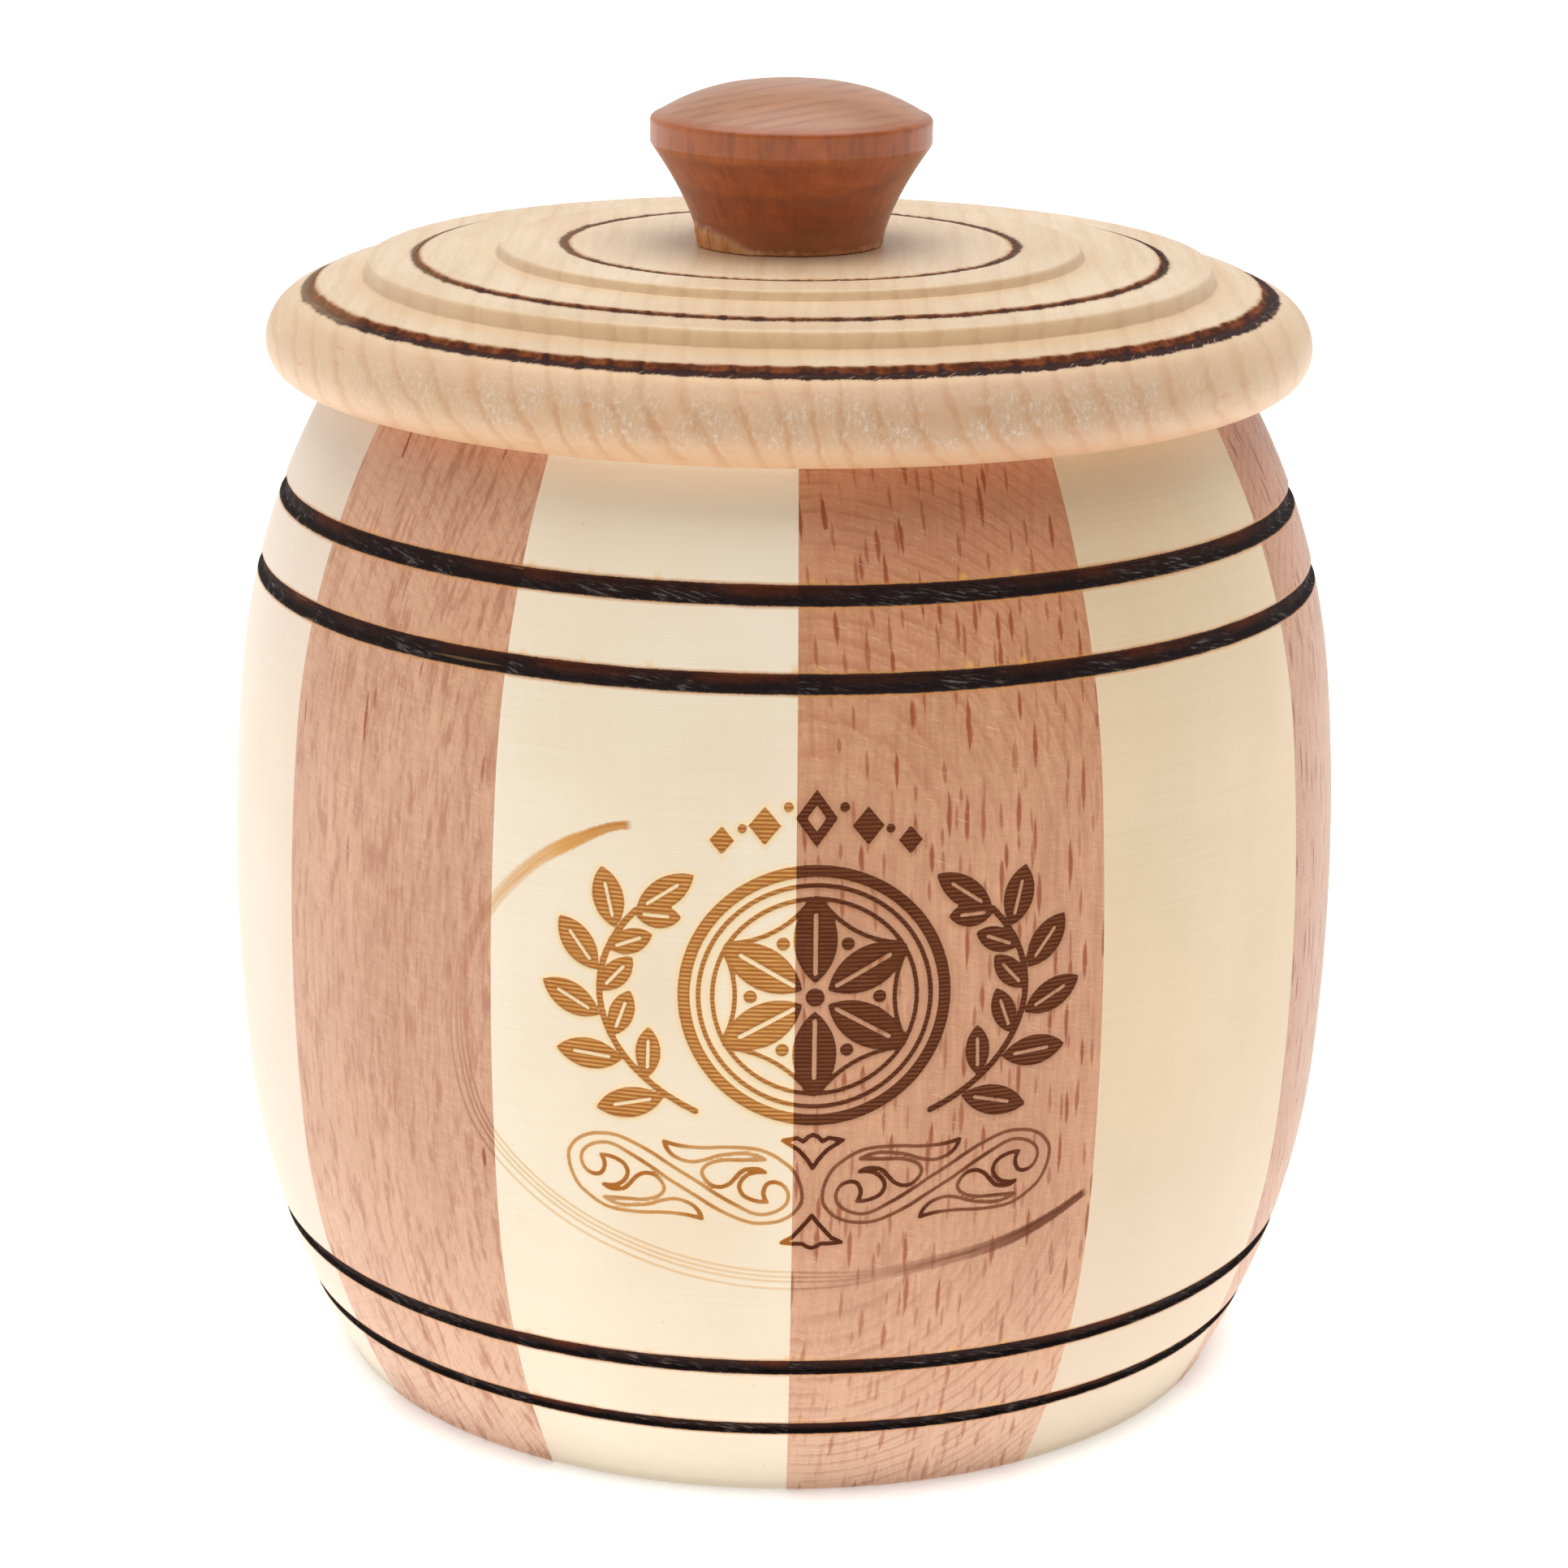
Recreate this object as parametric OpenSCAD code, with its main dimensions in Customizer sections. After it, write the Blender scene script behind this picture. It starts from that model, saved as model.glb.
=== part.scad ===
// Barrel-shaped wooden sugar jar.
// The wall is coopered from twelve staves, light and dark by turns, glued edge
// to edge and turned to a barrel with four scorched grooves. A round bottom is
// let into the staves from below. The lid is one turned disc that rests on the
// rim and is centred by a ring under it; its knob is glued in by a tenon.
// Millimetres. Z is the turning axis, z = 0 is the surface the jar stands on,
// and the front of the jar looks along -Y.

/* [Barrel] */
// Height of the barrel from its base to its rim
barrel_h = 99; // [97:0.5:101]
// Outside radius at the belly
belly_r = 55; // [52:0.5:58]
// Height of the widest place
belly_z = 48.9; // [47:0.1:51]
// Radius of the long arc of the belly
belly_arc = 211; // [190:1:240]
// Radius of the arc that draws in the foot
foot_arc = 75; // [70:0.5:85]
// Radius of the arc that draws in the shoulder
shoulder_arc = 70.5; // [66:0.5:80]
// Half angle of the belly arc below the widest place, degrees
foot_from = 4.9; // [3:0.1:6]
// Half angle of the belly arc above the widest place, degrees
shoulder_from = 5.6; // [4:0.1:7]
// Chamfer of the outer edge at the base
foot_chamfer = 0.7; // [0.3:0.1:1.5]
// Rounding of the two edges of the rim
rim_chamfer = 0.6; // [0.3:0.1:1]

/* [Staves] */
// Number of staves, half of them light and half dark
stave_n = 12; // [12:12:12]
// Angle of the first joint, from the front towards the right, degrees
first_joint = 1.2; // [-10:0.1:10]
// How far the joints drift, because the staves are not all as wide, degrees
joint_drift = 1.0; // [0:0.1:1.5]

/* [Scorched grooves] */
// Heights of the four grooves on the barrel
groove_z = [8.15, 15.5, 80.7, 88.1]; // [5:0.05:94]
// Widths of the four grooves on the barrel
groove_w = [1.35, 1.6, 1.8, 1.8]; // [0.8:0.05:2.4]
// Depth of the grooves on the barrel
groove_d = 0.45; // [0.2:0.05:0.8]

/* [Hollow] */
// Inside radius of the mouth
mouth_r = 37.5; // [36:0.1:39]
// Length of the straight mouth below the rim
mouth_h = 9; // [8:0.5:12]
// Largest inside radius
hollow_r = 45.5; // [42:0.5:47]
// Inside radius at the floor
floor_r = 38; // [36:0.5:39]
// Thickness of the bottom, which is let into the staves to this height
bottom_t = 8; // [6:0.5:10]
// Radius of the bottom
bottom_r = 40; // [39.5:0.1:41]

/* [Lid] */
// Largest radius of the lid
lid_r = 50.9; // [49:0.1:53]
// Gap between the rim of the barrel and the lid
lid_gap = 0.1; // [0.05:0.05:0.3]
// Height of the lid's widest place over its underside
lid_edge_h = 3.3; // [2.8:0.1:3.8]
// Height of the crown's flat over the underside
crown_h = 12.2; // [11.5:0.1:13]
// Radii of the three scorched rings on the lid
lid_ring_r = [22, 36.4, 46.7]; // [20:0.1:48]
// Widths of the three scorched rings
lid_ring_w = [1.2, 1.4, 1.6]; // [0.8:0.1:2.2]
// Depth of the scorched rings
lid_ring_d = 0.35; // [0.15:0.05:0.5]
// Radius of the centring ring under the lid
spigot_r = 36.8; // [35:0.1:37]
// How far the centring ring reaches into the mouth
spigot_h = 6.1; // [4:0.1:7]
// Width of the centring ring
spigot_w = 6; // [4:0.5:8]
// Depth of the dished underside inside the centring ring
dish_h = 3.5; // [2:0.5:4]

/* [Knob] */
// Radius of the knob at its base
knob_base_r = 9; // [8:0.1:10]
// Radius of the knob at its rim
knob_r = 13.7; // [12:0.1:15]
// Height of the flared neck
knob_neck_h = 9.6; // [9:0.1:12]
// Height of the straight band at the rim
knob_band_h = 2.7; // [1.5:0.1:3]
// Rise of the domed top over the band
knob_dome_h = 3.4; // [2:0.1:5]
// Radius of the tenon
tenon_r = 4.5; // [3.5:0.1:5]
// Length of the tenon
tenon_h = 9.8; // [7:0.1:10]
// Clearance of the glued tenon in its hole
tenon_gap = 0.05; // [0.02:0.01:0.1]

/* [Hidden] */
$fn = 180;

light_wood = "#f0dfc3";
dark_wood = "#c3937a";
lid_wood = "#e6cfb0";
knob_wood = "#804628";
bottom_wood = "#e3cba6";

lid_z = barrel_h + lid_gap;
crown_z = lid_z + crown_h;

// Centres of the three tangent arcs of the outside, as [radius, height]
belly_c = [belly_r - belly_arc, belly_z];
foot_c = [belly_c[0] + (belly_arc - foot_arc) * cos(foot_from),
          belly_z - (belly_arc - foot_arc) * sin(foot_from)];
shoulder_c = [belly_c[0] + (belly_arc - shoulder_arc) * cos(shoulder_from),
              belly_z + (belly_arc - shoulder_arc) * sin(shoulder_from)];
foot_z = belly_z - belly_arc * sin(foot_from);
shoulder_z = belly_z + belly_arc * sin(shoulder_from);

function arc_r(c, radius, z) = c[0] + sqrt(radius * radius - (z - c[1]) * (z - c[1]));

// Outside radius at a height, without the grooves
function out_r(z) =
    z < foot_z ? arc_r(foot_c, foot_arc, z)
    : z > shoulder_z ? arc_r(shoulder_c, shoulder_arc, z)
    : arc_r(belly_c, belly_arc, z);

// Evenly spaced values from a up to, but not including, b
function span(a, b, n) = [for (i = [0 : n - 1]) a + (b - a) * i / n];

// Points [radius, height] along the outside between two heights
function wall(a, b, n) = [for (z = span(a, b, n)) [out_r(z), z]];

// The four points of one groove, from its lower edge to its upper edge
function groove(i) = let (z = groove_z[i], w = groove_w[i])
    [[out_r(z - w / 2), z - w / 2],
     [out_r(z - w / 4) - groove_d, z - w / 4],
     [out_r(z + w / 4) - groove_d, z + w / 4],
     [out_r(z + w / 2), z + w / 2]];

function groove_top(i) = groove_z[i] + groove_w[i] / 2;
function groove_low(i) = groove_z[i] - groove_w[i] / 2;

// Without the first point of a list
function tail(v) = [for (i = [1 : len(v) - 1]) v[i]];

outside = concat(
    [[out_r(0) - foot_chamfer, 0]],
    wall(foot_chamfer, groove_low(0), 4),
    groove(0),
    tail(wall(groove_top(0), groove_low(1), 3)),
    groove(1),
    tail(wall(groove_top(1), groove_low(2), 18)),
    groove(2),
    tail(wall(groove_top(2), groove_low(3), 3)),
    groove(3),
    tail(wall(groove_top(3), barrel_h - rim_chamfer, 5)),
    [[out_r(barrel_h - rim_chamfer), barrel_h - rim_chamfer],
     [out_r(barrel_h) - rim_chamfer, barrel_h]]
);

// The hollow is one arc from the foot of the mouth down to the floor
hollow_top = barrel_h - mouth_h;
hollow_mid = (hollow_top + bottom_t) / 2;
hollow_half = (hollow_top - bottom_t) / 2;
hollow_sag = hollow_r - (mouth_r + floor_r) / 2;
hollow_arc = (hollow_half * hollow_half + hollow_sag * hollow_sag) / (2 * hollow_sag);
function lean(z) = (mouth_r - floor_r) / 2 * (z - hollow_mid) / hollow_half;
function in_r(z) = hollow_r + lean(z)
    - (hollow_arc - sqrt(hollow_arc * hollow_arc - (z - hollow_mid) * (z - hollow_mid)));

inside = concat(
    [[mouth_r + rim_chamfer, barrel_h], [mouth_r, barrel_h - rim_chamfer]],
    [for (z = span(hollow_top, bottom_t, 16)) [in_r(z), z]],
    [[in_r(bottom_t), bottom_t], [bottom_r, bottom_t], [bottom_r, 0]]
);

// Angle of joint k about Z, counted from the +X axis
function joint_a(k) = -90 + first_joint + k * 360 / stave_n
    + joint_drift * (1 - cos(60 * k + 18));

// Stave k stands between joint k and joint k + 1
module stave(k) {
    rotate([0, 0, joint_a(k)])
        rotate_extrude(angle = joint_a(k + 1) - joint_a(k))
            polygon(concat(outside, inside));
}

module dark_stave(i) { color(dark_wood) stave(2 * (i - 1)); }
module light_stave(i) { color(light_wood) stave(2 * (i - 1) + 1); }

module bottom() {
    color(bottom_wood)
        rotate_extrude()
            polygon([[0, 0], [bottom_r - 0.4, 0], [bottom_r, 0.4],
                     [bottom_r, bottom_t], [0, bottom_t]]);
}

// Four points of a ring cut into a face that runs from a to b
function lid_ring(i, za, zb) = let (r = lid_ring_r[i], w = lid_ring_w[i])
    [[r - w / 2, za],
     [r - w / 4, za + (zb - za) / 4 - lid_ring_d],
     [r + w / 4, za + (zb - za) * 3 / 4 - lid_ring_d],
     [r + w / 2, zb]];

// Arc of a given radius about [r, z], from angle a to angle b
function edge_arc(r, z, radius, a, b, n) =
    [for (i = [0 : n]) let (t = a + (b - a) * i / n) [r + radius * cos(t), z + radius * sin(t)]];

lid_edge_z = lid_z + lid_edge_h;
brow_r = lid_ring_r[2] + lid_ring_w[2] / 2;
brow_z = crown_z - 4.4;
// The upper edge is the arc through the brow that stands upright at the widest place
brow_a = 2 * atan((lid_r - brow_r) / (brow_z - lid_edge_z));
brow_arc = (brow_z - lid_edge_z) / sin(brow_a);

lid_top = concat(
    [[tenon_r + tenon_gap, crown_z - tenon_h - 0.2],
     [tenon_r + tenon_gap, crown_z]],
    lid_ring(0, crown_z, crown_z),
    // the crown's outer bead and the first step down
    [[25.5, crown_z + 0.12], [27.5, crown_z + 0.16], [28, crown_z + 0.1],
     [28.2, crown_z - 0.06], [28.6, crown_z - 0.86], [28.9, crown_z - 0.9]],
    lid_ring(1, crown_z - 0.92, crown_z - 1.27),
    // the second bead and the second step down
    [[39, crown_z - 1.24], [40.4, crown_z - 1.28], [40.8, crown_z - 1.38],
     [41, crown_z - 1.6], [41.4, crown_z - 2.92], [41.7, crown_z - 2.98],
     [44.2, crown_z - 3.2]],
    lid_ring(2, crown_z - 3.56, brow_z),
    tail(edge_arc(lid_r - brow_arc, lid_edge_z, brow_arc, brow_a, 0, 8)),
    tail(edge_arc(lid_r - lid_edge_h, lid_edge_z, lid_edge_h, 0, -90, 7))
);

lid_under = [
    [spigot_r, lid_z], [spigot_r, lid_z - spigot_h + 0.6],
    [spigot_r - 0.6, lid_z - spigot_h], [spigot_r - spigot_w, lid_z - spigot_h],
    [spigot_r - spigot_w - 1.2, lid_z - spigot_h + dish_h],
    [0, lid_z - spigot_h + dish_h], [0, crown_z - tenon_h - 0.2]
];

module lid() {
    color(lid_wood) rotate_extrude() polygon(concat(lid_top, lid_under));
}

// Neck flares with the 1.5th power of the height; the dome is part of a sphere
function neck_r(t) = knob_base_r + (knob_r - 0.15 - knob_base_r) * pow(t, 1.5);
knob_edge = 0.25;
dome_foot = knob_r - knob_edge;
dome_arc = (dome_foot * dome_foot + knob_dome_h * knob_dome_h) / (2 * knob_dome_h);
dome_top = crown_z + knob_neck_h + knob_band_h + knob_dome_h;
function dome_z(r) = dome_top - dome_arc + sqrt(dome_arc * dome_arc - r * r);

knob_profile = concat(
    [[0, crown_z - tenon_h], [tenon_r - 0.4, crown_z - tenon_h],
     [tenon_r, crown_z - tenon_h + 0.4], [tenon_r, crown_z]],
    [for (i = [0 : 9]) [neck_r(i / 10), crown_z + knob_neck_h * i / 10]],
    [[knob_r - 0.15, crown_z + knob_neck_h],
     [knob_r, crown_z + knob_neck_h + 0.15],
     [knob_r, crown_z + knob_neck_h + knob_band_h - knob_edge]],
    [for (i = [0 : 9]) let (r = dome_foot * (1 - i / 10)) [r, dome_z(r)]],
    [[0, dome_top]]
);

module knob() {
    color(knob_wood) rotate_extrude() polygon(knob_profile);
}

light_stave(1);  // light_stave_1
light_stave(2);  // light_stave_2
light_stave(3);  // light_stave_3
light_stave(4);  // light_stave_4
light_stave(5);  // light_stave_5
light_stave(6);  // light_stave_6
dark_stave(1);  // dark_stave_1
dark_stave(2);  // dark_stave_2
dark_stave(3);  // dark_stave_3
dark_stave(4);  // dark_stave_4
dark_stave(5);  // dark_stave_5
dark_stave(6);  // dark_stave_6
bottom();
lid();
knob();
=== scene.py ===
"""Looks of a wooden barrel sugar jar: twelve staves, a bottom, a turned lid and its knob.

Every piece is a turned mesh made from the same profile as the CAD piece it stands
for. Lengths are in millimetres up to the last step and are written in metres.
"""
import math

import bpy
import numpy as np
from mathutils import Matrix, Vector


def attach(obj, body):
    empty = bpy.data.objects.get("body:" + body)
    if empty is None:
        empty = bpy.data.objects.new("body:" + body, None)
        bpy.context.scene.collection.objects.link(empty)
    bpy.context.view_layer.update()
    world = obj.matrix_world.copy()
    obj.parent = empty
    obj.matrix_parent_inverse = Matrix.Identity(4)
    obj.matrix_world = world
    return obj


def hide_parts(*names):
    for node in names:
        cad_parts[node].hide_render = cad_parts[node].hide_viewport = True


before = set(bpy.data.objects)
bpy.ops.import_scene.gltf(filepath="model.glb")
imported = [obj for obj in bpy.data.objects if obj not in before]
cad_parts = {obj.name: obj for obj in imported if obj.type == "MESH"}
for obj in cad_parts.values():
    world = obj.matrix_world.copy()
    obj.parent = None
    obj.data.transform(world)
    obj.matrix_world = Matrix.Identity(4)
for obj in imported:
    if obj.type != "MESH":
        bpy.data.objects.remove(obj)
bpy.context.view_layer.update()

PI = math.pi
rad = np.radians

# --------------------------------------------------------------------------
# Profile of the barrel: three tangent arcs outside, one arc inside
# --------------------------------------------------------------------------
BARREL_H = 99.0
BELLY_R, BELLY_Z, BELLY_ARC = 54.975, 48.9, 211.0
FOOT_ARC, SHOULDER_ARC = 75.0, 70.5
FOOT_FROM, SHOULDER_FROM = math.radians(4.9), math.radians(5.6)
GROOVE_Z = (8.15, 15.5, 80.7, 88.1)
GROOVE_W = (1.35, 1.6, 1.8, 1.8)
GROOVE_D = 0.45
MOUTH_R, MOUTH_H, HOLLOW_R, FLOOR_R = 37.5, 9.0, 45.5, 38.0
BOTTOM_T, BOTTOM_R = 8.0, 40.0

BELLY_C = BELLY_R - BELLY_ARC
FOOT_C = (BELLY_C + (BELLY_ARC - FOOT_ARC) * math.cos(FOOT_FROM),
          BELLY_Z - (BELLY_ARC - FOOT_ARC) * math.sin(FOOT_FROM))
SHOULDER_C = (BELLY_C + (BELLY_ARC - SHOULDER_ARC) * math.cos(SHOULDER_FROM),
              BELLY_Z + (BELLY_ARC - SHOULDER_ARC) * math.sin(SHOULDER_FROM))
FOOT_Z = BELLY_Z - BELLY_ARC * math.sin(FOOT_FROM)
SHOULDER_Z = BELLY_Z + BELLY_ARC * math.sin(SHOULDER_FROM)


def out_r(z):
    z = np.asarray(z, float)
    low = FOOT_C[0] + np.sqrt(FOOT_ARC ** 2 - (z - FOOT_C[1]) ** 2)
    mid = BELLY_C + np.sqrt(BELLY_ARC ** 2 - (z - BELLY_Z) ** 2)
    top = SHOULDER_C[0] + np.sqrt(SHOULDER_ARC ** 2 - (z - SHOULDER_C[1]) ** 2)
    return np.where(z < FOOT_Z, low, np.where(z > SHOULDER_Z, top, mid))


HOLLOW_TOP = BARREL_H - MOUTH_H
HOLLOW_MID = (HOLLOW_TOP + BOTTOM_T) / 2
HOLLOW_HALF = (HOLLOW_TOP - BOTTOM_T) / 2
HOLLOW_SAG = HOLLOW_R - (MOUTH_R + FLOOR_R) / 2
HOLLOW_ARC = (HOLLOW_HALF ** 2 + HOLLOW_SAG ** 2) / (2 * HOLLOW_SAG)


def in_r(z):
    z = np.asarray(z, float)
    lean = (MOUTH_R - FLOOR_R) / 2 * (z - HOLLOW_MID) / HOLLOW_HALF
    return HOLLOW_R + lean - (HOLLOW_ARC - np.sqrt(HOLLOW_ARC ** 2 - (z - HOLLOW_MID) ** 2))


def joint_deg(k):
    """Angle of stave joint k about Z, from +X; the front of the jar is at -90."""
    return -90 + 1.2 + 30 * k + (1 - math.cos(math.radians(60 * k + 18)))


def smooth(a, b, x):
    t = np.clip((x - a) / (b - a), 0, 1)
    return t * t * (3 - 2 * t)


def ripple(angle, seed, low, high, n=9):
    """A smooth uneven curve round the axis, about -1 to 1, that closes on itself."""
    rng = np.random.default_rng(seed)
    f = rng.integers(low, high, n)
    p = rng.uniform(0, 2 * PI, n)
    a = rng.uniform(0.5, 1.0, n)
    a /= math.sqrt((a ** 2).sum() / 2) * 1.6
    return sum(a[i] * np.sin(f[i] * angle + p[i]) for i in range(n))


# --------------------------------------------------------------------------
# The engraving on the front. x runs along the wall from the front, y up from
# ORN_Z, both in mm. Filled shapes are given as a distance above zero inside
# them, drawn lines as a signed distance to their middle.
# --------------------------------------------------------------------------
ORN_Z = 48.6
ORN_R = 54.3
AXIS = 2.95


def d_disc(x, y, cx, cy, r):
    return r - np.hypot(x - cx, y - cy)


def d_ring(x, y, cx, cy, r, half):
    return half - np.abs(np.hypot(x - cx, y - cy) - r)


def d_bar(x, y, p, q, half):
    ax, ay = q[0] - p[0], q[1] - p[1]
    t = np.clip(((x - p[0]) * ax + (y - p[1]) * ay) / (ax * ax + ay * ay), 0, 1)
    return half - np.hypot(x - p[0] - t * ax, y - p[1] - t * ay)


def d_leaf(x, y, p, q, half):
    """Pointed leaf from p to q, half wide each side of its middle line."""
    ax, ay = q[0] - p[0], q[1] - p[1]
    n = math.hypot(ax, ay)
    ax, ay = ax / n, ay / n
    mx, my = (p[0] + q[0]) / 2, (p[1] + q[1]) / 2
    u = (x - mx) * ax + (y - my) * ay
    v = -(x - mx) * ay + (y - my) * ax
    R = (n * n / 4 + half * half) / (2 * half)
    c = R - half
    return R - np.hypot(u, np.abs(v) + c)


def d_lozenge(x, y, cx, cy, a, b):
    return (1 - np.abs(x - cx) / a - np.abs(y - cy) / b) * a * b / math.hypot(a, b)


def medallion(x, y):
    """A six-petalled rosette in two rings, a leafy sprig each side, and a row of lozenges above."""
    x, y = x - AXIS, y - 4.2
    xa = np.abs(x)
    d = np.full(np.shape(x), -9.0)

    def add(e):
        np.maximum(d, e, out=d)

    def cut(e):
        np.minimum(d, -e, out=d)

    for i in range(6):
        t = math.radians(90 + 60 * i)
        c, s = math.cos(t), math.sin(t)
        add(d_leaf(x, y, (1.3 * c, 1.3 * s), (9.4 * c, 9.4 * s), 1.95))
    for i in range(6):
        t = math.radians(90 + 60 * i)
        c, s = math.cos(t), math.sin(t)
        cut(d_bar(x, y, (2.2 * c, 2.2 * s), (7.6 * c, 7.6 * s), 0.19))
    for i in range(6):
        t0, t1 = math.radians(90 + 60 * i), math.radians(150 + 60 * i)
        e = d_leaf(x, y, (9.3 * math.cos(t0), 9.3 * math.sin(t0)), (9.3 * math.cos(t1), 9.3 * math.sin(t1)), 1.2)
        add(np.minimum(e, 0.42 - e))
        tm = (t0 + t1) / 2
        add(d_disc(x, y, 5.7 * math.cos(tm), 5.7 * math.sin(tm), 0.6))
    add(d_disc(x, y, 0, 0, 0.85))
    add(d_ring(x, y, 0, 0, 10.3, 0.22))
    add(d_ring(x, y, 0, 0, 11.6, 0.55))
    # sprigs
    A, B = 19.3, 13.2

    def stem(t):
        return A * math.sin(t), -B * math.cos(t)

    ts = [math.radians(v) for v in np.linspace(33, 124, 20)]
    for a, b in zip(ts[:-1], ts[1:]):
        add(d_bar(xa, y, stem(a), stem(b), 0.3))
    leaves = []
    n = 5
    for i in range(n):
        t = math.radians(42 + i * (113 - 42) / (n - 1))
        px, py = stem(t)
        tx, ty = A * math.cos(t), B * math.sin(t)
        m = math.hypot(tx, ty)
        tx, ty = tx / m, ty / m
        long = 6.5 - 0.2 * i
        for side, turn in ((1, 46), (-1, 60)):
            ang = math.radians(turn) * side
            dx = tx * math.cos(ang) + ty * math.sin(ang)
            dy = ty * math.cos(ang) - tx * math.sin(ang)
            sh = 0 if side > 0 else 2.3
            f = 1.0 if side > 0 else 0.74
            p = (px + tx * sh + dx * 0.45, py + ty * sh + dy * 0.45)
            leaves.append((p, (p[0] + dx * long * f, p[1] + dy * long * f), 1.45 if side > 0 else 1.15))
    leaves.append((stem(ts[-1]), stem(ts[-1] + math.radians(22)), 1.35))
    for p, q, h in leaves:
        add(d_leaf(xa, y, p, q, h))
    for p, q, h in leaves:
        cut(d_bar(xa, y, (p[0] * 0.8 + q[0] * 0.2, p[1] * 0.8 + q[1] * 0.2),
                  (p[0] * 0.28 + q[0] * 0.72, p[1] * 0.28 + q[1] * 0.72), 0.15))
    # the row above
    add(d_lozenge(x, y, 0, 16.3, 1.9, 2.6))
    cut(d_lozenge(x, y, 0, 16.3, 0.85, 1.15))
    add(d_lozenge(xa, y, 4.6, 15.6, 1.45, 1.75))
    add(d_lozenge(xa, y, 8.4, 14.2, 1.1, 1.3))
    add(d_disc(xa, y, 2.5, 17.3, 0.45))
    add(d_disc(xa, y, 6.6, 15.3, 0.42))
    return d


def spline(points, n=6):
    """A smooth line through points, n steps between each two."""
    p = np.array([points[0]] + list(points) + [points[-1]], float)
    out = []
    for i in range(1, len(p) - 2):
        t = np.linspace(0, 1, n, endpoint=False)[:, None]
        a, b, c, d = p[i - 1], p[i], p[i + 1], p[i + 2]
        out.append(0.5 * (2 * b + (c - a) * t + (2 * a - 5 * b + 4 * c - d) * t ** 2
                          + (3 * b - a - 3 * c + d) * t ** 3))
    return np.vstack(out + [p[-1:]])


def to_outline(x, y, line):
    """Signed distance to a closed outline, above zero inside it."""
    p, q = line, np.roll(line, -1, 0)
    best = np.full(x.shape, 1e9)
    odd = np.zeros(x.shape, bool)
    for a, b in zip(p, q):
        ax, ay = b[0] - a[0], b[1] - a[1]
        L = ax * ax + ay * ay
        if L < 1e-12:
            continue
        t = np.clip(((x - a[0]) * ax + (y - a[1]) * ay) / L, 0, 1)
        best = np.minimum(best, np.hypot(x - a[0] - t * ax, y - a[1] - t * ay))
        if a[1] != b[1]:
            odd ^= ((a[1] > y) != (b[1] > y)) & (x < (y - a[1]) * ax / ay + a[0])
    return np.where(odd, best, -best)


# One arm of the scroll, about the middle of its S: the outside of the loop, then
# the curl inside it, then three leaf edges back to the tip it began at.
ARM_OUT = [(-1.7, 3.7), (-0.9, 3.5), (0.3, 3.35), (2.1, 3.35), (3.8, 3.5), (5.6, 3.5), (6.9, 3.35), (8.0, 2.9),
           (8.9, 2.3), (9.8, 1.5), (10.4, 0.4), (10.7, -0.7), (10.7, -1.7), (10.3, -2.5), (9.6, -3.2), (8.6, -3.7),
           (7.5, -3.9), (6.3, -3.9), (5.2, -3.6), (3.8, -3.0), (2.5, -2.3), (1.25, -1.5)]
ARM_CURL = [(0.0, 0.75), (1.25, 0.0), (2.5, -0.85), (3.9, -1.7), (5.0, -2.3), (6.1, -2.85), (7.1, -3.05), (8.1, -2.85),
            (8.9, -2.4), (9.4, -1.8), (9.5, -1.0), (9.2, -0.3), (8.7, 0.1), (8.1, 0.2), (7.6, 0.0), (7.3, -0.6),
            (7.3, -1.2), (7.6, -1.8)]
ARM_LEAF_1 = [(7.6, -1.8), (6.8, -1.75), (6.0, -1.5), (5.4, -1.1), (5.1, -0.4), (5.3, 0.3), (5.9, 0.9), (6.7, 1.15), (7.4, 1.15)]
ARM_LEAF_2 = [(7.4, 1.15), (6.8, 1.45), (6.1, 1.45), (5.4, 1.25), (4.8, 0.6), (4.3, 0.0), (3.6, -0.4), (2.8, -0.4),
              (2.2, 0.0), (1.8, 0.6), (1.75, 1.1), (2.1, 1.6), (2.8, 2.0), (3.8, 2.25), (4.8, 2.3), (6.1, 2.35), (7.4, 2.4)]
ARM_LEAF_3 = [(7.4, 2.4), (6.6, 2.8), (5.6, 2.95), (4.3, 2.85), (3.1, 2.6), (1.8, 2.1), (0.7, 1.9), (-0.3, 2.1),
              (-1.0, 2.5), (-1.5, 3.1), (-1.7, 3.7)]


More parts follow.
